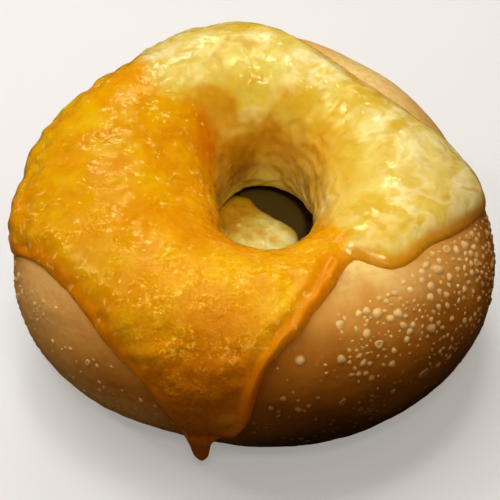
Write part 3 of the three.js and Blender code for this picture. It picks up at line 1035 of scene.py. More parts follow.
@dataclass
class CheeseSheet:
    """One kind of cheese, melted over its part of the ring, as a closed shell."""

    kind: CheeseKind
    skin: MeltedSkin
    start: Seam
    end: Seam
    columns: int = 400
    drip_columns: int = 70
    overlap_columns: int = 6
    overlap: float = 3 * MM
    overlap_sink: float = 0.25 / MM
    rows: int = 160
    # How far the first rows are from the edge, on a sheet as wide as the width below.
    edge_rows: tuple[float, ...] = (0.0, 0.05, 0.13, 0.25, 0.42, 0.64, 0.92, 1.26)
    sheet_width: float = 52.0
    left_of_drip: float = 0.72
    right_of_drip: float = 0.28

    def plain_azimuths(self) -> Floats:
        """The azimuths of the sheet's columns at its outer edge, close together at the drip."""
        start, end = self.start.azimuth, self.end.azimuth
        if end < start:
            end += 360.0
        if self.kind is CheeseKind.PALE:
            return np.linspace(start, end, self.columns + 1)
        drip = self.skin.drip
        half = float(np.degrees(drip.reach / self.skin.ring.outer_radius))
        before = np.linspace(start, drip.azimuth - half, int(self.left_of_drip * self.columns) + 1)
        within = np.linspace(drip.azimuth - half, drip.azimuth + half, self.drip_columns + 1)
        after = np.linspace(drip.azimuth + half, end, int(self.right_of_drip * self.columns) + 1)
        return np.concatenate([before, within[1:], after[1:]])

    def row_shares(self) -> Floats:
        """How far across the sheet each row lies, close together at both edges."""
        near = np.array(self.edge_rows) / self.sheet_width
        middle = np.linspace(near[-1], 1.0 - near[-1], self.rows - 2 * len(near) + 3)
        return np.concatenate([near[:-1], middle, 1.0 - near[-2::-1]])

    def places(self, every: int) -> tuple[Floats, Floats, Floats]:
        """The places of the sheet's vertices on the ring.

        Args:
            every: 1 for all columns and rows, 2 for every second one.

        Returns:
            The azimuths, the tube angles, and how far each is past its seam, by column and row.
        """
        plain = self.plain_azimuths()
        first, last = plain[0], plain[-1]
        shares = self.row_shares()
        beyond = np.linspace(self.overlap, 0.0, self.overlap_columns + 1)[:-1]
        columns = np.concatenate([np.full(len(beyond), first), plain, np.full(len(beyond), last)])
        past = np.concatenate([-beyond, np.zeros(len(plain)), beyond[::-1]])
        columns, past = columns[::every], past[::every]
        shares = shares[::every]
        along = ((columns - first) / (last - first))[:, None]
        outer = self.skin.edge(columns)[:, None]
        inner = self.skin.inner_edge(columns)[:, None]
        tube = outer + (inner - outer) * shares[None, :]
        azimuth = (
            columns[:, None]
            + self.start.shift(tube) * (1.0 - along) ** 3
            + self.end.shift(tube) * along**3
        )
        radius = self.skin.ring.hole_distance(self.skin.ring.point(azimuth, tube))
        azimuth = azimuth + np.degrees(past[:, None] / radius)
        return azimuth, tube, np.abs(past[:, None]) + np.zeros_like(tube)

    def read_skin(self, azimuth: Floats, tube: Floats, past: Floats) -> SkinReading:
        """Reads the cheese's upper surface.

        Args:
            azimuth: The azimuths.
            tube: The tube angles.
            past: How far each place is past the seam, where the sheet dives under the other.

        Returns:
            The points and what they look like.
        """
        skin, ring, drip = self.skin, self.skin.ring, self.skin.drip
        at = skin.places(azimuth, tube)
        from_inner = np.clip(skin.inner_edge(azimuth) - tube, 0.0, None) * ring.tube_length
        relief, crest, crinkle = Wrinkles().read(at)
        full = skin.thickness_at(at) + relief * smoothstep(at.from_edge, *skin.wrinkled_from)
        edge_round = skin.edge_round(azimuth)
        outer_reach = np.clip(at.from_edge / edge_round, 0.0, 1.0)
        inner_reach = np.clip(from_inner / skin.inner_round, 0.0, 1.0)
        reach = np.minimum(outer_reach, inner_reach)
        softness = blend(skin.sharpness, 1.0, smoothstep(edge_round, *skin.sharp_round))
        swell = (1.0 - (1.0 - reach) ** 2) ** softness
        lift = -skin.sink + (full + skin.sink) * swell
        depth = drip.half_depth(ring, azimuth, at.ground[:, 2])
        lift = blend(lift, drip.lift + depth, drip.share(ring, azimuth, tube))
        lift = lift - self.overlap_sink * past**2
        bleached = skin.bleached(at)
        return SkinReading(
            points=skin.base(azimuth, tube, lift),
            orange=bleached,
            crest=crest,
            toast=skin.toast_at(at, bleached),
            thin=skin.thin_at(at),
            dusk=skin.dusk_at(at, relief),
            crinkle=crinkle * smoothstep(at.from_edge, *skin.crinkled_from),
        )

    def underside(self, azimuth: Floats, tube: Floats) -> Floats:
        """The points of the sheet's lower surface, just inside the crust."""
        skin, ring, drip = self.skin, self.skin.ring, self.skin.drip
        ground = skin.base(azimuth, tube, 0.0)
        depth = drip.half_depth(ring, azimuth, ground[:, 2])
        lift = blend(-skin.sink, drip.lift - depth, drip.share(ring, azimuth, tube))
        return skin.base(azimuth, tube, lift)

    def build(self) -> bpy.types.Object:
        """Models the sheet.

        Returns:
            The closed shell, with its shares for the finish.
        """
        sides = []
        for side, every in (("upper", 1), ("lower", 2)):
            azimuth, tube, past = self.places(every)
            columns, rows = azimuth.shape[0] - 1, azimuth.shape[1] - 1
            name = self.kind.value if side == "upper" else self.kind.value + "_under"
            piece = add_grid(name, columns, rows)
            column, row = grid_steps(piece, columns, rows)
            reading = self.read_skin(azimuth[column, row], tube[column, row], past[column, row])
            if side == "upper":
                set_places(piece, reading.points)
            else:
                set_places(piece, self.underside(azimuth[column, row], tube[column, row]))
            set_shares(
                piece, orange=reading.orange, crest=reading.crest, toast=reading.toast,
                thin=reading.thin, dusk=reading.dusk, crinkle=reading.crinkle,
            )
            sides.append(piece)
        shell = bridge_rims(*sides)
        smooth(shell)
        return shell


@dataclass(frozen=True)
class Baking:
    """How dark the crust is: pale on top and dark near the base, from baking and painted shade, darkest
    in front by painted shade.
    """

    # Painted shade in front. Of the lighter sides, the left one is painted light and the back one keeps
    # the back less dark.
    darker: Side = (0.18, 281.0, 26.0)
    lighter: tuple[Side, ...] = ((0.78, 222.0, 38.0), (0.35, 105.0, 70.0))
    ragged: Pattern = Pattern(Seed.BAKE, 11 * MM, 2.5 * MM)
    pale_height: float = 41 * MM
    fade: float = 29 * MM

    def at(self, places: Floats) -> Floats:
        """How dark the crust is at some places, from 0 to 1."""
        azimuth = np.degrees(np.arctan2(places[:, 1], places[:, 0]))
        light = np.ones(len(azimuth))
        for side in self.lighter:
            light = light * (1.0 - facing(azimuth, side))
        height = places[:, 2] + self.ragged.rough(places)
        dark = (self.pale_height - height) / self.fade + facing(azimuth, self.darker)
        return np.clip(dark, 0.0, 1.0) * light


@dataclass
class BreadRing:
    """The ring of dough with its uneven crust."""

    ring: Ring
    skin: MeltedSkin
    columns: int = 590
    bare_rows: int = 126
    covered_rows: int = 36
    lowest: float = -64.0
    covered_from: float = 4.0
    bumps: Pattern = Pattern(Seed.CRUST, 9 * MM, 0.2 * MM)
    fine_bumps: Pattern = Pattern(Seed.CRUST, 2.2 * MM, 0.05 * MM)
    even_base: Span = (0.5 * MM, 6 * MM)
    hollow: Spot = (50.0, 45.0, 0.7 * MM, 12 * MM)
    notch: Side = (1.0, 308.0, 13.0)
    notch_width: float = 5 * MM
    notch_ragged: Pattern = Pattern(Seed.CRUST, 4 * MM, 1.2 * MM, shift=7.0)
    notch_fuzz: Pattern = Pattern(Seed.CRUST, 1.5 * MM, 0.12 * MM, shift=3.0)
    notch_cream: float = 0.8
    # Pale sides of the crust, each with the tube angles from which and to which it grows pale.
    # The last one, low on the left, is painted light.
    pale_sides: tuple[tuple[Side, Span], ...] = (
        ((0.85, 48.0, 30.0), (15.0, 55.0)),
        ((0.35, 208.0, 16.0), (-20.0, 20.0)),
        ((0.5, 230.0, 24.0), (24.0, -14.0)),
    )

    def tubes(self, azimuths: Floats) -> Floats:
        """The tube angles of the rows, close together on the bare crust.

        Args:
            azimuths: The azimuth of each column.

        Returns:
            The tube angles, by column and row.
        """
        top = self.skin.outer_edge(azimuths) + self.covered_from
        bare = np.linspace(0.0, 1.0, self.bare_rows + 1)
        covered = np.linspace(0.0, 1.0, self.covered_rows + 1)[1:]
        low = self.lowest + (top[:, None] - self.lowest) * bare
        high = top[:, None] + (self.lowest + 360.0 - top[:, None]) * covered
        return np.concatenate([low, high], axis=1)

    def build(self) -> bpy.types.Object:
        """Models the ring.

        Returns:
            The closed ring, with its shares for the finish.
        """
        rows = self.bare_rows + self.covered_rows
        piece = add_grid("bread_ring_crust", self.columns, rows)
        column, row = grid_steps(piece, self.columns, rows)
        azimuths = np.linspace(0.0, 360.0, self.columns + 1)
        tubes = self.tubes(azimuths)
        azimuth, tube = azimuths[column], tubes[column, row]
        places = self.ring.point(azimuth, tube)
        from_edge = self.skin.edge_distance(places) + self.notch_ragged.rough(places)
        notch = facing(azimuth, self.notch) * bell(np.clip(from_edge, 0.0, None), self.notch_width)
        uneven = self.bumps.rough(places) + self.fine_bumps.rough(places, 2)
        lift = uneven * smoothstep(places[:, 2], *self.even_base)
        lift = lift + notch * self.notch_fuzz.raised(places)
        lift = lift - self.ring.near(azimuth, tube, self.hollow)
        set_places(piece, self.ring.point(azimuth, tube, lift))
        cream = self.notch_cream * notch
        for side, fade in self.pale_sides:
            cream = cream + facing(azimuth, side) * smoothstep(tube, *fade)
        cream = np.clip(cream, 0.0, 1.0)
        set_shares(piece, bake=Baking().at(places), cream=cream, crown=np.zeros(len(lift)))
        weld(piece)
        smooth(piece)
        return piece


@dataclass(frozen=True)
class BlisterPatch:
    """A part of the bare crust with small blisters strewn over it."""

    azimuths: Span
    tubes: Span
    count: int
    radii: Span


@dataclass
class Blisters:
    """The pale blisters that boiling and baking raise on the bare crust."""

    ring: Ring
    skin: MeltedSkin
    sides: int = 10
    rise: float = 0.3
    low_rise: float = 0.4
    rise_tubes: Span = (-25.0, 30.0)
    sunk: float = 0.1 * MM
    margin: float = 0.35 * MM
    closeness: float = 0.8
    tries: int = 80
    small_bias: float = 1.5
    burst_from: float = 0.9 * MM
    burst_share: float = 0.18
    bulge: float = 0.14
    narrowest: float = 0.68
    faintest: float = 0.8
    small_faintest: float = 0.4
    # The radius and height of each ring of a blister, and then how pale it is at each radius.
    dome: tuple[Pairs, Pairs] = (
        ((0.94, 0.08), (0.78, 0.36), (0.56, 0.72), (0.32, 0.94), (0.1, 1.0)),
        ((0.0, 1.0), (0.55, 0.85), (0.8, 0.4), (1.0, 0.0)),
    )
    burst: tuple[Pairs, Pairs] = (
        ((0.94, 0.1), (0.8, 0.55), (0.66, 0.82), (0.5, 0.78), (0.2, 0.6)),
        ((0.0, 0.4), (0.45, 0.5), (0.68, 1.0), (0.86, 0.35), (1.0, 0.0)),
    )
    # The azimuth, the tube angle and the radius of each large blister.
    large: tuple[Triple, ...] = (
        (326, 64, 1.65 * MM), (322, 70, 1.15 * MM), (327, 56, 1.25 * MM), (323, 51, 1.25 * MM),
        (321, 61, 1.3 * MM), (333, 56, 0.9 * MM), (331, 30, 1 * MM), (325, 43, 1 * MM),
        (321, 38, 1 * MM), (309, 60, 1.3 * MM), (304, 66, 1.4 * MM), (299, 58, 1.3 * MM),
        (293, 68, 1.2 * MM), (308, 45, 1 * MM), (301, 50, 1.2 * MM), (304, 43, 1.1 * MM),
        (315, 42, 1.4 * MM), (291, 49, 1.2 * MM), (296, 43, 1 * MM), (281, 52, 1.2 * MM),
        (310, 18, 1.7 * MM), (302, 17, 1 * MM), (290, 22, 1.1 * MM), (294, 12, 1.1 * MM),
        (280, 21, 1 * MM), (205, 24, 1 * MM), (230, 24, 1 * MM),
    )
    patches: tuple[BlisterPatch, ...] = (
        BlisterPatch((318, 345), (44, 78), 34, (0.8 * MM, 1.4 * MM)),
        BlisterPatch((292, 345), (36, 74), 110, (0.46 * MM, 1.15 * MM)),
        BlisterPatch((312, 356), (14, 66), 100, (0.46 * MM, 1.2 * MM)),
        BlisterPatch((290, 350), (-22, 22), 60, (0.45 * MM, 1 * MM)),
        BlisterPatch((356, 380), (-30, 30), 20, (0.45 * MM, 1.1 * MM)),
        BlisterPatch((380, 436), (-30, 35), 20, (0.45 * MM, 1.1 * MM)),
        BlisterPatch((76, 196), (-30, 30), 30, (0.45 * MM, 1.1 * MM)),
        BlisterPatch((197, 214), (-14, 26), 26, (0.6 * MM, 1.3 * MM)),
        BlisterPatch((196, 248), (-24, 40), 70, (0.45 * MM, 1 * MM)),
        BlisterPatch((262, 300), (-24, 55), 45, (0.42 * MM, 0.9 * MM)),
    )

    def shape(self, name: str, profile: Pairs, crown: Pairs) -> bpy.types.Object:
        """Models one blister of radius 1 about the origin.

        Args:
            name: Its name.
            profile: The radius and height of each ring, from its base to its middle.
            crown: How pale it is at each radius.

        Returns:
            The closed blister.
        """
        bpy.ops.object.select_all(action="DESELECT")
        bpy.ops.mesh.primitive_circle_add(vertices=self.sides, radius=1.0, fill_type="NGON")
        piece = bpy.context.active_object
        piece.name = name
        edit(piece, "FACE")
        radius, height = 1.0, 0.0
        for new_radius, new_height in profile:
            bpy.ops.mesh.extrude_region_move(
                TRANSFORM_OT_translate={"value": (0.0, 0.0, new_height - height)}
            )
            bpy.ops.transform.resize(value=(new_radius / radius, new_radius / radius, 1.0))
            radius, height = new_radius, new_height
        bpy.ops.mesh.poke()
        bpy.ops.object.mode_set(mode="OBJECT")
        places = read_places(piece)
        pale = np.interp(np.hypot(places[:, 0], places[:, 1]), *np.array(crown).T)
        set_shares(piece, bake=np.zeros(len(pale)), cream=np.zeros(len(pale)), crown=pale)
        smooth(piece)
        return piece

    def spots(self) -> Iterator[Triple]:
        """Draws the places of the blisters.

        Yields:
            The azimuth, the tube angle and the radius of each.
        """
        draw = np.random.default_rng(Seed.BLISTER_PLACES.value)
        taken: list[tuple[Vector, float]] = []
        for azimuth, tube, radius in self.large:
            taken.append((Vector(self.ring.point(np.array(azimuth), np.array(tube))), radius))
            yield azimuth, tube, radius
        for patch in self.patches:
            made = 0
            for _ in range(self.tries * patch.count):
                azimuth, tube = draw.uniform(*patch.azimuths), draw.uniform(*patch.tubes)
                radius = float(blend(*patch.radii, draw.random() ** self.small_bias))
                if made >= patch.count or tube > float(self.skin.outer_edge(azimuth)):
                    continue
                place = Vector(self.ring.point(np.array(azimuth), np.array(tube)))
                if self.skin.edge_line.find(place)[2] < radius + self.margin:
                    continue
                if any((place - other).length < self.closeness * (radius + r) for other, r in taken):
                    continue
                taken.append((place, radius))
                made += 1
                yield azimuth, tube, radius

    def build(self) -> bpy.types.Object:
        """Models all the blisters.

        Returns:
            The blisters as one piece.
        """
        dome = self.shape("blister_dome", *self.dome)
        burst = self.shape("blister_burst", *self.burst)
        draw = np.random.default_rng(Seed.BLISTER_FORMS.value)
        copies = []
        for azimuth, tube, radius in self.spots():
            source = burst if radius > self.burst_from and draw.random() < self.burst_share else dome
            copy = source.copy()
            copy.data = source.data.copy()
            bpy.context.scene.collection.objects.link(copy)
            places = read_places(copy)
            angle = np.arctan2(places[:, 1], places[:, 0])
            for turns in (2, 3):
                bulge = draw.uniform(0.0, self.bulge)
                bulge = bulge * np.cos(turns * angle + draw.uniform(0, 2 * np.pi))
                places[:, :2] *= (1.0 + bulge)[:, None]
            set_places(copy, places)
            outwards = Vector(self.ring.normal(np.array(azimuth), np.array(tube)))
            place = Vector(self.ring.point(np.array(azimuth), np.array(tube), -self.sunk))
            turned = outwards.to_track_quat("Z", "Y").to_matrix().to_4x4()
            spin = Matrix.Rotation(draw.uniform(0, 2 * np.pi), 4, "Z")
            stretch = draw.uniform(self.narrowest, 1.0)
            rise = self.rise * float(blend(self.low_rise, 1.0, smoothstep(tube, *self.rise_tubes)))
            size = Matrix.Diagonal((radius, radius * stretch, rise * radius + self.sunk, 1.0))
            copy.data.transform(Matrix.Translation(place) @ turned @ spin @ size)
            crown = copy.data.attributes["crown"].data
            pale = np.zeros(len(crown), dtype=np.float32)
            crown.foreach_get("value", pale)
            faintest = self.small_faintest if radius < MM else self.faintest
            crown.foreach_set("value", pale * draw.uniform(faintest, 1.0))
            copies.append(copy)
        piece = join(copies)
        piece.name = "crust_blisters"
        piece.data.name = "crust_blisters"
        for source in (dome, burst):
            bpy.data.objects.remove(source)
        bake = Baking().at(read_places(piece))
        piece.data.attributes["bake"].data.foreach_set("value", bake.astype(np.float32))
        return piece


@dataclass
class CheesePool:
    """The cheese that ran through the hole and set on the surface below."""

    ring: Ring
    centre: Span = (-2 * MM, 12 * MM)
    outline: SmoothCurve = SmoothCurve(
        (
            (8, 14 * MM), (30, 12 * MM), (44, 10.9 * MM), (61, 10.8 * MM), (74, 11.8 * MM),
            (86, 14.5 * MM), (107, 16 * MM), (138, 14.6 * MM), (180, 12.6 * MM), (216, 13 * MM),
            (252, 12.4 * MM), (294, 12 * MM), (333, 13.4 * MM),
        ),
        period=360.0,
    )
    wall_tube: float = 236.0
    wall_step: float = 2.0
    thickness: float = 2.6 * MM
    climb: float = 4.6 * MM
    climb_from: Span = (4 * MM, 14 * MM)
    tucked: float = 0.6 * MM
    edge_power: int = 5
    bump_power: int = 4
    bumps: Pattern = Pattern(Seed.POOL, 5 * MM, 0.45 * MM)
    crests: Pattern = Pattern(Seed.POOL, 3.4 * MM, 0.12 * MM, bend=1.2)
    bend_width: float = 7 * MM
    blotch_clouds: Pattern = Pattern(Seed.POOL, 4.2 * MM, 0.5, shift=8.0)
    cloud_rise: Span = (0.1, 0.45)
    blotch_ragged: Pattern = Pattern(Seed.POOL, 2 * MM, 0.5 * MM)
    blotch_orange: float = 0.7
    crest_share: float = 0.8
    shade_slope: float = 0.7
    shade_from: Span = (6 * MM, 16 * MM)
    sharp_edge: float = 50.0
    # The place of each blotch, seen from above, and its reach.
    blotches: tuple[tuple[Span, float], ...] = (
        ((-0.8 * MM, 11.4 * MM), 1.5 * MM),
        ((2.4 * MM, 12.2 * MM), 1.8 * MM),
        ((5.4 * MM, 10.6 * MM), 1.2 * MM),
        ((-4.5 * MM, 13.0 * MM), 1.6 * MM),
    )
    columns: int = 160
    rows: int = 60

    def wall_distance(self, direction: Floats) -> Floats:
        """How far the pool can spread before it meets the ring's wall.

        Args:
            direction: The directions from the pool's centre.

        Returns:
            The distances.
        """
        azimuths = np.arange(0.0, 360.0, self.wall_step)
        wall = self.ring.point(azimuths, np.full(len(azimuths), self.wall_tube))
        x = wall[:, 0] - self.ring.centre[0] - self.centre[0]
        y = wall[:, 1] - self.ring.centre[1] - self.centre[1]
        angle = np.mod(np.degrees(np.arctan2(y, x)), 360.0)
        order = np.argsort(angle)
        return np.interp(direction, angle[order], np.hypot(x, y)[order], period=360.0)

    def build(self) -> bpy.types.Object:
        """Models the pool.

        Returns:
            The closed puddle, with its shares for the finish.
        """
        piece = add_grid("set_cheese_pool", self.columns, self.rows)
        column, row = grid_steps(piece, self.columns, self.rows)
        direction = 360.0 * column / self.columns
        spread = np.minimum(self.outline(direction), self.wall_distance(direction) + self.tucked)
        out = row / self.rows
        x = out * spread * np.cos(np.radians(direction))
        y = out * spread * np.sin(np.radians(direction))
        climb = self.climb * smoothstep(-(x + self.centre[0]), *self.climb_from)
        height = self.thickness * np.sqrt(np.clip(1.0 - out**self.edge_power, 0.0, 1.0)) + climb
        places = np.stack([x, y, height], axis=1)
        grain = Grain(Seed.POOL)
        wander = grain.drift(places / self.bend_width)
        crest = grain.crests(places / self.crests.width + self.crests.bend * wander)
        bumps = self.bumps.rough(places) + self.crests.height * crest
        bumps = bumps * (1 - out**self.bump_power)
        places[:, 2] = np.where(row == self.rows, 0.0, height + bumps)
        places[:, 0] += self.ring.centre[0] + self.centre[0]
        places[:, 1] += self.ring.centre[1] + self.centre[1]
        set_places(piece, places)
        clouds = smoothstep(self.blotch_clouds.read(places), *self.cloud_rise)
        blotch = self.blotch_clouds.height * clouds
        ragged = self.blotch_ragged.raised(places)
        for place, reach in self.blotches:
            gap = np.hypot(places[:, 0] - place[0], places[:, 1] - place[1])
            blotch = np.maximum(blotch, bell(gap + ragged, reach))
        # Painted shade over the pool's back left, carried by its toast share; the crest highlights stay
        # out of it.
        shade = smoothstep(self.shade_slope * (places[:, 1] - places[:, 0]), *self.shade_from)
        crested = self.crest_share * (1.0 - blotch) * (1.0 - shade)
        none = np.zeros(len(crest))
        set_shares(
            piece, orange=self.blotch_orange * blotch, crest=crested, toast=shade, thin=none,
            dusk=none, crinkle=crest,
        )
        weld(piece)
        edit(piece, "EDGE")
        bpy.ops.mesh.select_all(action="DESELECT")
        bpy.ops.mesh.select_non_manifold(extend=False)
        bpy.ops.mesh.edge_face_add()
        bpy.ops.mesh.select_all(action="SELECT")
        bpy.ops.mesh.normals_make_consistent(inside=False)
        bpy.ops.object.mode_set(mode="OBJECT")
        bpy.ops.object.shade_smooth_by_angle(angle=float(np.radians(self.sharp_edge)))
        return piece


def srgb(red: int, green: int, blue: int) -> Colour:
    """A colour as shaders take it, from its three parts out of 255 on screen."""
    parts = np.array([red, green, blue]) / 255.0
    linear = np.where(parts <= 0.04045, parts / 12.92, ((parts + 0.055) / 1.055) ** 2.4)
    return (*linear.tolist(), 1.0)


class NodeDesk:
    """Adds nodes to one tree and joins them."""

    MIX_FACTOR, MIX_LOW, MIX_HIGH, MIX_RESULT = 0, 6, 7, 2

    def __init__(self, tree: bpy.types.NodeTree) -> None:
        """Takes the tree to work on."""
        self.tree = tree

    def add(self, kind: str, inputs: dict[Any, Any], **settings: Any) -> bpy.types.Node:
        """Adds a node.

        Args:
            kind: The node's type.
            inputs: A value, or another node's output, for inputs by name or number.
            settings: The node's own settings.

        Returns:
            The node.
        """
        node = self.tree.nodes.new(kind)
        for name, value in settings.items():
            setattr(node, name, value)
        self.feed(node, inputs)
        return node

    def feed(self, node: bpy.types.Node, inputs: dict[Any, Any]) -> None:
        """Gives a node's inputs their values, or joins them to other nodes' outputs."""
        for name, value in inputs.items():
            if isinstance(value, bpy.types.NodeSocket):
                self.tree.links.new(value, node.inputs[name])
            else:
                node.inputs[name].default_value = value

    def mix(self, factor: Any, low: Any, high: Any) -> bpy.types.NodeSocket:
        """Mixes two colours, with the factor as the share of the second one."""
        inputs = {self.MIX_FACTOR: factor, self.MIX_LOW: low, self.MIX_HIGH: high}
        return self.add("ShaderNodeMix", inputs, data_type="RGBA").outputs[self.MIX_RESULT]

    def lay(self, colour: Any, mask: Any, glaze: Glaze) -> bpy.types.NodeSocket:
        """Lays a glaze over a colour where a mask is."""
        return self.mix(self.times(mask, glaze[1]), colour, glaze[0])

    def span(self, value: Any, low: float, high: float, to_low: float = 0.0, to_high: float = 1.0) -> Any:
        """Maps a value's span onto another, smoothly and held at its ends.

        Args:
            value: The value.
            low: Where the span starts.
            high: Where it ends.
            to_low: The result at its start.
            to_high: The result at its end.

        Returns:
            The result.
        """
        inputs = {"Value": value, "From Min": low, "From Max": high, "To Min": to_low, "To Max": to_high}
        node = self.add("ShaderNodeMapRange", inputs, interpolation_type="SMOOTHSTEP")
        return node.outputs["Result"]

    def math(self, operation: str, first: Any, second: Any) -> bpy.types.NodeSocket:
        """Works out one number from two."""
        return self.add("ShaderNodeMath", {0: first, 1: second}, operation=operation).outputs[0]

    def times(self, first: Any, second: Any) -> bpy.types.NodeSocket:
        """Multiplies two numbers."""
        return self.math("MULTIPLY", first, second)

    def bump(self, height: Any, strength: float, distance: float) -> bpy.types.NodeSocket:
        """Normals that show a fine relief, as high as the distance."""
        inputs = {"Height": height, "Strength": strength, "Distance": distance}
        return self.add("ShaderNodeBump", inputs).outputs["Normal"]

    def share(self, name: str) -> bpy.types.NodeSocket:
        """A share kept at the piece's vertices."""
        return self.add("ShaderNodeAttribute", {}, attribute_name=name).outputs["Fac"]

    def place(self) -> bpy.types.NodeSocket:
        """The place on the object."""
        return self.add("ShaderNodeTexCoord", {}).outputs["Object"]

    def noise(self, scale: float, detail: float = 3.0, rough: float = 0.5) -> bpy.types.NodeSocket:
        """Cloudy noise on the object, about from 0 to 1."""
        inputs = {"Vector": self.place(), "Scale": scale, "Detail": detail, "Roughness": rough}
        return self.add("ShaderNodeTexNoise", inputs).outputs["Fac"]

    def clouds(self, noise: tuple[float, ...], low: float, high: float) -> bpy.types.NodeSocket:
        """Clouds drawn from noise, 0 where it is below the low end and 1 above the high one."""
        return self.span(self.noise(*noise), low, high)

    def veins(self, scale: float, width: float, bend: float) -> bpy.types.NodeSocket:
        """Thin bent lines on the object, 1 along their middle.

        Args:
            scale: How close together they lie.
            width: How wide they are, as a share of the noise that they are drawn from.
            bend: How much they bend.

        Returns:
            Their strength.
        """
        inputs = {"Vector": self.place(), "Scale": scale, "Detail": 2.0, "Distortion": bend}
        cloud = self.add("ShaderNodeTexNoise", inputs).outputs["Fac"]
        off = self.math("ABSOLUTE", self.math("SUBTRACT", cloud, 0.5), 0.0)
        return self.span(off, width, 0.0)


class EffectGroup:
    """A shader node group: an effect that several finishes use."""

    def __init__(self, name: str, values: tuple[str, ...], results: dict[str, str]) -> None:
        """Makes the empty group.

        Args:
            name: The group's name.
            values: Its inputs, all numbers.
            results: Its outputs, each with its socket type.
        """
        self.tree = bpy.data.node_groups.new(name, "ShaderNodeTree")
        for label in values:
            self.tree.interface.new_socket(label, in_out="INPUT", socket_type="NodeSocketFloat")
        for label, kind in results.items():
            self.tree.interface.new_socket(label, in_out="OUTPUT", socket_type=kind)
        self.desk = NodeDesk(self.tree)
        self.inputs = self.desk.add("NodeGroupInput", {}).outputs
        self.outputs = self.desk.add("NodeGroupOutput", {}).inputs

    def give(self, label: str, value: bpy.types.NodeSocket) -> None:
        """Joins a value to one of the group's outputs."""
        self.tree.links.new(value, self.outputs[label])

    def place_in(self, desk: NodeDesk, inputs: dict[str, Any]) -> bpy.types.Node:
        """Places the group in another tree with its own values."""
        return desk.add("ShaderNodeGroup", inputs, node_tree=self.tree)


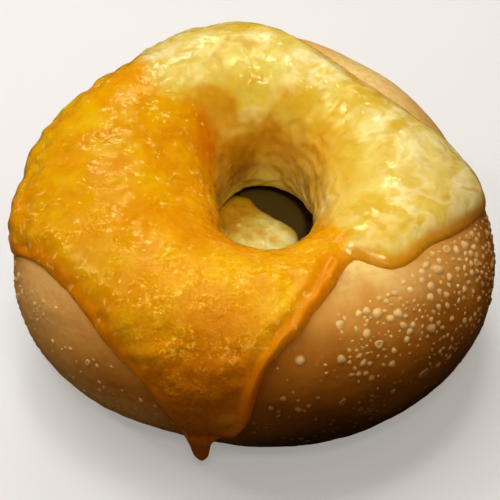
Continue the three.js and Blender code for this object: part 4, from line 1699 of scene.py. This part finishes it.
@dataclass(frozen=True)
class MeltedColours:
    """The colours of melted cheese, from how orange, crested, toasted and thin it is, with painted shade
    and painted highlights.
    """

    INPUTS = ("Orange", "Crest", "Crinkle", "Toast", "Thin", "Dusk")

    pale: Tones = (srgb(212, 174, 54), srgb(224, 198, 88))
    pale_drift: Glaze = (srgb(235, 222, 149), 0.3)
    # Painted highlights on the pale cheese: lighter crests and light strokes.
    pale_crest: Glaze = (srgb(246, 237, 178), 0.36)
    pale_stroke: Glaze = (srgb(250, 242, 196), 0.5)
    orange: Tones = (srgb(221, 150, 2), srgb(229, 175, 4))
    orange_drift: Glaze = (srgb(225, 142, 1), 0.5)
    # Painted highlight on the orange cheese's crests.
    orange_crest: Glaze = (srgb(246, 190, 22), 0.25)
    crinkled: Tones = (srgb(208, 118, 1), srgb(246, 180, 14))
    crinkled_share: float = 0.3
    browned: Tones = (srgb(216, 166, 30), srgb(210, 146, 16))
    orange_toasted: Colour = srgb(200, 109, 3)
    thin: Tones = (srgb(204, 134, 16), srgb(228, 138, 3))
    # Painted shade: first a deeper amber, then dark brown.
    shaded: Tones = (srgb(180, 120, 14), srgb(204, 110, 1))
    darkest: Colour = srgb(108, 57, 2)
    # Painted highlights: thin threads on the crinkles and small glints, darker in painted shade.
    threads: Tones = (srgb(252, 204, 66), srgb(190, 112, 14))
    thread_share: float = 0.75
    glints: Tones = (srgb(255, 228, 124), srgb(200, 128, 24))

    def build(self) -> EffectGroup:
        """Makes the group.

        Returns:
            The group, which gives the colour, how oily the cheese is, and its finest relief.
        """
        results = {"Colour": "NodeSocketColor", "Oil": "NodeSocketFloat", "Relief": "NodeSocketFloat"}
        group = EffectGroup("melted_colour", self.INPUTS, results)
        desk = group.desk
        orangeness, crest, crinkle, toast, thin, dusk = (group.inputs[name] for name in self.INPUTS)
        patch = desk.clouds((190.0, 2.0), 0.42, 0.58)
        fine = desk.noise(1400.0, 2.0, 0.6)
        colour = desk.mix(orangeness, self.pale_colour(desk, crest), self.orange_colour(group, fine))
        # Toasted brown, which on the pool is painted shade.
        browned = desk.mix(desk.span(toast, 0.4, 0.95), *self.browned)
        colour = desk.mix(toast, colour, desk.mix(orangeness, browned, self.orange_toasted))
        colour = desk.mix(thin, colour, desk.mix(orangeness, *self.thin))
        # Painted shade: deeper amber first, then dark brown where it is strongest.
        shaded = desk.mix(orangeness, *self.shaded)
        colour = desk.mix(desk.span(dusk, 0.0, 0.3, 0.0, 0.85), colour, shaded)
        colour = desk.mix(desk.span(dusk, 0.3, 1.0, 0.0, 0.9), colour, self.darkest)

        # Painted highlights: thin threads where the orange cheese is crinkled, then small glints.
        dash = desk.times(desk.veins(520.0, 0.1, 0.6), desk.span(fine, 0.44, 0.58))
        thread = desk.times(desk.times(dash, patch), crinkle)
        thread = desk.times(desk.times(thread, self.thread_share), orangeness)
        darker = desk.span(dusk, 0.1, 0.8)
        colour = desk.mix(thread, colour, desk.mix(darker, *self.threads))
        dab = desk.clouds((600.0, 4.0, 0.65), 0.56, 0.66)
        glint = desk.times(dab, desk.clouds((210.0, 2.0), 0.46, 0.6))
        glint = desk.times(glint, desk.span(crinkle, 0.2, 0.9, 1.0, 0.65))
        lit = desk.times(orangeness, desk.span(dusk, 0.02, 0.3, 0.6, 0.1))
        colour = desk.mix(desk.times(glint, lit), colour, desk.mix(darker, *self.glints))

        uneven = desk.math("SUBTRACT", desk.noise(650.0, 2.0), 0.5)
        wavy = desk.times(uneven, desk.span(patch, 0.0, 1.0, 0.3, 1.5))
        relief = desk.math("ADD", wavy, desk.times(crinkle, desk.math("SUBTRACT", fine, 0.5)))
        smoother = desk.span(orangeness, 0.0, 1.0, 0.5, 1.0)
        smoother = desk.times(smoother, desk.span(toast, 0.15, 0.5, 1.0, 0.3))
        smoother = desk.times(smoother, desk.span(thin, 0.1, 0.5, 1.0, 0.5))
        group.give("Colour", colour)
        group.give("Oil", patch)
        group.give("Relief", desk.times(relief, smoother))
        return group

    def pale_colour(self, desk: NodeDesk, crest: bpy.types.NodeSocket) -> bpy.types.NodeSocket:
        """Mixes the pale cheese's colour, with painted highlights on its crests and in strokes.

        Args:
            desk: The desk for the group's nodes.
            crest: How much of a crest each place is.

        Returns:
            The colour.
        """
        stroke = desk.times(desk.veins(150.0, 0.14, 0.6), desk.clouds((80.0, 2.0), 0.42, 0.6))
        pale = desk.mix(desk.clouds((150.0, 4.0), 0.35, 0.65), *self.pale)
        pale = desk.lay(pale, desk.clouds((60.0, 2.0), 0.42, 0.66), self.pale_drift)
        pale = desk.lay(pale, crest, self.pale_crest)
        return desk.lay(pale, stroke, self.pale_stroke)

    def orange_colour(self, group: EffectGroup, fine: bpy.types.NodeSocket) -> bpy.types.NodeSocket:
        """Mixes the orange cheese's colour, with painted highlights on its crests, speckled where it is
        crinkled.

        Args:
            group: The group, which has the crests and the crinkles.
            fine: Fine noise to draw the specks from.

        Returns:
            The colour.
        """
        desk = group.desk
        orange = desk.mix(desk.clouds((150.0, 4.0), 0.35, 0.65), *self.orange)
        orange = desk.lay(orange, desk.clouds((60.0, 2.0), 0.42, 0.66), self.orange_drift)
        orange = desk.lay(orange, group.inputs["Crest"], self.orange_crest)
        crinkled = desk.mix(desk.span(fine, 0.4, 0.6), *self.crinkled)
        return desk.mix(desk.times(group.inputs["Crinkle"], self.crinkled_share), orange, crinkled)


@dataclass(frozen=True)
class CrustColours:
    """The colours of the baked crust, from how baked and shaded, how creamy or lit, and how blistered it
    is; the shade and the light are painted.
    """

    INPUTS = ("Bake", "Cream", "Crown")

    pale: Tones = (srgb(208, 144, 62), srgb(166, 98, 22))
    brown: Colour = srgb(104, 60, 12)
    dark: Colour = srgb(46, 25, 5)
    specks: Glaze = (srgb(214, 166, 96), 0.2)
    cream: Colour = srgb(235, 208, 138)
    crowns: Tones = (srgb(240, 209, 146), srgb(128, 86, 38))
    crown_share: float = 0.86
    speck_grain: float = 1.2

    def build(self) -> EffectGroup:
        """Makes the group.

        Returns:
            The group, which gives the colour and the crust's fine grain.
        """
        results = {"Colour": "NodeSocketColor", "Grain": "NodeSocketFloat"}
        group = EffectGroup("crust_colour", self.INPUTS, results)
        desk = group.desk
        bake, cream, crown = (group.inputs[name] for name in self.INPUTS)
        cloud = desk.span(desk.noise(75.0, 4.0), 0.35, 0.65, -0.06, 0.06)
        uneven = desk.math("ADD", bake, cloud)
        # Pale, then brown, then dark, as the crust is more baked and deeper in painted shade.
        colour = desk.mix(desk.span(uneven, 0.0, 0.3), *self.pale)
        colour = desk.mix(desk.span(uneven, 0.25, 0.65), colour, self.brown)
        colour = desk.mix(desk.span(uneven, 0.6, 1.0), colour, self.dark)
        cells = desk.add("ShaderNodeTexVoronoi", {"Vector": desk.place(), "Scale": 620.0}, feature="F1")
        speck = desk.span(cells.outputs["Distance"], 0.34, 0.16)
        speck = desk.times(speck, desk.clouds((140.0,), 0.5, 0.62))
        colour = desk.lay(colour, speck, self.specks)
        # Cream near the notch, and painted light low on the left side.
        creamy = desk.times(cream, desk.span(desk.noise(700.0), 0.3, 0.6, 0.6, 1.0))
        colour = desk.mix(creamy, colour, self.cream)
        crowned = desk.mix(desk.span(bake, 0.1, 0.7), *self.crowns)
        colour = desk.mix(desk.times(crown, self.crown_share), colour, crowned)
        group.give("Colour", colour)
        group.give("Grain", desk.math("ADD", desk.noise(900.0, 2.0), desk.times(speck, self.speck_grain)))
        return group


def new_material(name: str) -> tuple[bpy.types.Material, NodeDesk, bpy.types.Node]:
    """Makes a material, with a desk for its nodes, and finds its shader."""
    material = bpy.data.materials.new(name)
    material.use_nodes = True
    return material, NodeDesk(material.node_tree), material.node_tree.nodes["Principled BSDF"]


@dataclass(frozen=True)
class CheeseFinish:
    """Glossy melted cheese that lets some light in."""

    name: str
    gather: float = 0.18
    light_reach: Triple = (1.0, 0.6, 0.2)
    depth: float = 1.0 * MM
    refraction: float = 1.45
    toast: float = 0.92
    amber: float = 0.95
    sheen: float = 0.68
    shine: Colour = (1.0, 0.94, 0.55, 1.0)
    dry: float = 0.34
    oily: float = 0.12
    wrinkle: float = 0.9
    wrinkle_height: float = 0.25 * MM

    def build(self, colours: EffectGroup) -> bpy.types.Material:
        """Makes the finish.

        Args:
            colours: The group with the colours of melted cheese.

        Returns:
            The material.
        """
        material, desk, shader = new_material(self.name)
        shares = {name: desk.share(name.lower()) for name in MeltedColours.INPUTS}
        shares["Toast"] = desk.times(shares["Toast"], self.toast)
        shares["Thin"] = desk.times(shares["Thin"], self.amber)
        outputs = colours.place_in(desk, shares).outputs
        desk.feed(
            shader,
            {
                "Base Color": outputs["Colour"],
                "Normal": desk.bump(outputs["Relief"], self.wrinkle, self.wrinkle_height),
                "Roughness": desk.span(outputs["Oil"], 0.0, 1.0, self.dry, self.oily),
                "Specular IOR Level": self.sheen,
                "Specular Tint": self.shine,
                "Subsurface Weight": self.gather,
                "Subsurface Radius": self.light_reach,
                "Subsurface Scale": self.depth,
                "IOR": self.refraction,
            },
        )
        return material


@dataclass(frozen=True)
class CrustFinish:
    """Baked crust with a slight sheen."""

    name: str
    roughness: float = 0.46
    grain: float = 0.35
    grain_height: float = 0.15 * MM
    shine: Colour = (0.8, 0.55, 0.28, 1.0)
    sheen: float = 0.22
    gather: float = 0.1
    light_reach: Triple = (1.0, 0.5, 0.25)
    depth: float = 0.8 * MM
    coat: float = 0.05
    coat_roughness: float = 0.3

    def build(self, colours: EffectGroup) -> bpy.types.Material:
        """Makes the finish.

        Args:
            colours: The group with the colours of crust.

        Returns:
            The material.
        """
        material, desk, shader = new_material(self.name)
        shares = {name: desk.share(name.lower()) for name in CrustColours.INPUTS}
        outputs = colours.place_in(desk, shares).outputs
        desk.feed(
            shader,
            {
                "Base Color": outputs["Colour"],
                "Normal": desk.bump(outputs["Grain"], self.grain, self.grain_height),
                "Roughness": self.roughness,
                "Specular IOR Level": self.sheen,
                "Specular Tint": self.shine,
                "Subsurface Weight": self.gather,
                "Subsurface Radius": self.light_reach,
                "Subsurface Scale": self.depth,
                "Coat Weight": self.coat,
                "Coat Roughness": self.coat_roughness,
            },
        )
        return material


@dataclass(frozen=True)
class SoftLight:
    """One square studio light, aimed at the bagel. It may be left out of reflections."""

    name: str
    place: Triple
    size: float
    power: float
    reflected: bool = True
    tint: Triple = (1.0, 0.98, 0.92)


@dataclass(frozen=True)
class NarrowLight:
    """One narrow light that reaches into the hole."""

    name: str
    aim: Triple
    cone: float
    power: float


def hang(name: str, data: bpy.types.ID, place: Triple | Vector, aim: Triple) -> bpy.types.Object:
    """Hangs a light or a camera in the scene.

    Args:
        name: Its name.
        data: The light or the camera.
        place: Where it hangs.
        aim: The place that it looks at.

    Returns:
        The object.
    """
    holder = bpy.data.objects.new(name, data)
    holder.location = place
    towards = Vector(aim) - Vector(place)
    holder.rotation_euler = towards.to_track_quat("-Z", "Y").to_euler()
    bpy.context.scene.collection.objects.link(holder)
    return holder


@dataclass
class Studio:
    """A pale floor, soft lights and the camera."""

    aim: Triple = (-0.37 * MM, -6.35 * MM, 21 * MM)
    distance: float = 230 * MM
    elevation: float = 54.0
    lens: float = 71.14
    nearest: float = 0.01
    floor_size: float = 6.0
    floor_glow: float = 0.3
    # The glow's colours, painted light; the painted dark brown shade and the pale base; and where the
    # shade gives way to the pale floor.
    floor_tones: Tones = (srgb(240, 239, 237), srgb(244, 243, 241))
    floor_bases: Tones = (srgb(84, 64, 36), srgb(204, 205, 208))
    dim_floor: Span = (35 * MM, 1.4 * 35 * MM)
    hole_light_place: Triple = (0.02, -0.24, 0.42)
    hole_light_radius: float = 0.03
    hole_tint: Triple = (0.96, 1.0, 0.36)
    hole_lights: tuple[NarrowLight, ...] = (
        NarrowLight("hole_light", (3 * MM, 21 * MM, 27 * MM), 6.0, 7.6),
        NarrowLight("pool_light", (5 * MM, 11 * MM, 3.5 * MM), 2.4, 30.0),
    )
    room_light: float = 0.26
    room_tint: Colour = (1.0, 0.74, 0.42, 1.0)
    reflected_room: float = 0.04
    lights: tuple[SoftLight, ...] = (
        SoftLight("soft_above", (-0.14, 0.22, 0.6), 0.36, 1.7, False, (1.0, 1.0, 1.0)),
        SoftLight("shine_above", (0.02, 0.12, 0.5), 0.09, 0.42),
        SoftLight("shine_front", (0.0, -0.18, 0.5), 0.06, 0.24),
        SoftLight("shine_left", (-0.36, 0.08, 0.42), 0.08, 0.4),
        SoftLight("shine_behind", (-0.08, 0.46, 0.4), 0.12, 0.5),
    )

    def build_floor(self) -> bpy.types.Object:
        """Lays the floor, pale to the camera but painted dark brown as shade below the ring and dim to
        other rays.
        """
        bpy.ops.object.select_all(action="DESELECT")
        bpy.ops.mesh.primitive_plane_add(size=self.floor_size)
        floor = bpy.context.active_object
        floor.name = "floor"
        material, desk, shader = new_material("pale_floor")
        seen = desk.add("ShaderNodeLightPath", {}).outputs["Is Camera Ray"]
        away = desk.add("ShaderNodeVectorMath", {0: desk.place()}, operation="LENGTH").outputs["Value"]
        # The camera sees the pale floor only outside the ring; its glow there is painted light that lifts
        # the bagel's shadow.
        outside = desk.times(seen, desk.span(away, *self.dim_floor))
        desk.feed(
            shader,
            {
                "Base Color": desk.mix(outside, *self.floor_bases),
                "Emission Color": desk.mix(desk.noise(6.0, 2.0), *self.floor_tones),
                "Emission Strength": desk.times(outside, self.floor_glow),
                "Roughness": 0.9,
                "Specular IOR Level": 0.1,
            },
        )
        floor.data.materials.append(material)
        floor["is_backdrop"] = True
        return floor

    def build_hole_lights(self) -> None:
        """Aims narrow lights over the camera at the far wall of the hole and at the pool."""
        for light in self.hole_lights:
            lamp = bpy.data.lights.new(light.name, "SPOT")
            lamp.energy = light.power
            lamp.color = self.hole_tint
            lamp.spot_size = float(np.radians(light.cone))
            lamp.spot_blend = 1.0
            lamp.shadow_soft_size = self.hole_light_radius
            holder = hang(light.name, lamp, self.hole_light_place, light.aim)
            holder.visible_glossy = False

    def build_lights(self) -> None:
        """Hangs the lights and fills the room with a little light from all sides."""
        for light in self.lights:
            lamp = bpy.data.lights.new(light.name, "AREA")
            lamp.shape = "SQUARE"
            lamp.size = light.size
            lamp.energy = light.power
            lamp.color = light.tint
            holder = hang(light.name, lamp, light.place, self.aim)
            holder.visible_glossy = light.reflected
        world = bpy.data.worlds.new("room")
        world.use_nodes = True
        desk = NodeDesk(world.node_tree)
        mirrored = desk.add("ShaderNodeLightPath", {}).outputs["Is Glossy Ray"]
        strength = desk.span(mirrored, 0.0, 1.0, self.room_light, self.reflected_room)
        desk.feed(world.node_tree.nodes["Background"], {"Color": self.room_tint, "Strength": strength})
        bpy.context.scene.world = world

    def build_camera(self) -> None:
        """Sets the camera at the height and distance from which the bagel was seen."""
        rise = np.radians(self.elevation)
        back = Vector((0.0, -float(np.cos(rise)), float(np.sin(rise))))
        place = Vector(self.aim) + self.distance * back
        camera = hang("camera", bpy.data.cameras.new("camera"), place, self.aim)
        camera.data.lens = self.lens
        camera.data.clip_start = self.nearest
        bpy.context.scene.camera = camera
        bpy.context.scene.view_settings.view_transform = "Standard"

    def build(self) -> None:
        """Sets up the whole studio."""
        self.build_floor()
        self.build_lights()
        self.build_hole_lights()
        self.build_camera()


def main() -> None:
    """Builds the bagel's pieces in order, dresses them and sets up the studio."""
    logging.basicConfig(level=logging.INFO, format="%(message)s")
    cad_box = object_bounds()
    ring = Ring()
    skin = MeltedSkin(ring, Drip())
    cheese, crust = MeltedColours().build(), CrustColours().build()

    bread = BreadRing(ring, skin).build()
    hand_over(bread, CrustFinish("baked_crust").build(crust), "crust", "bread_ring")
    blisters = Blisters(ring, skin).build()
    hand_over(blisters, CrustFinish("blistered_crust", 0.4).build(crust), "crust", "bread_ring")
    orange = CheeseSheet(CheeseKind.ORANGE, skin, LEFT_SEAM, RIGHT_SEAM).build()
    finish = CheeseFinish("orange_melt", dry=0.3, oily=0.1, sheen=0.4, shine=(1.0, 0.9, 0.22, 1.0))
    hand_over(orange, finish.build(cheese), "orange_cheese", "orange_cheese")
    pale = CheeseSheet(CheeseKind.PALE, skin, RIGHT_SEAM, LEFT_SEAM, columns=440).build()
    finish = CheeseFinish("pale_melt", light_reach=(1.0, 0.7, 0.35))
    hand_over(pale, finish.build(cheese), "pale_cheese", "pale_cheese")
    pool = CheesePool(ring).build()
    finish = CheeseFinish("set_melt", light_reach=(1.0, 0.7, 0.35))
    hand_over(pool, finish.build(cheese), "pool_cheese", "cheese_pool")

    Studio().build()
    boxes = {"cad": cad_box, "visual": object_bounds()}
    {name: [list(corner) for corner in box] for name, box in boxes.items()}
    for name, box in boxes.items():
        log.info("%s box in mm: %s", name, [[round(x / MM, 2) for x in corner] for corner in box])


if __name__ == "__main__":
    main()
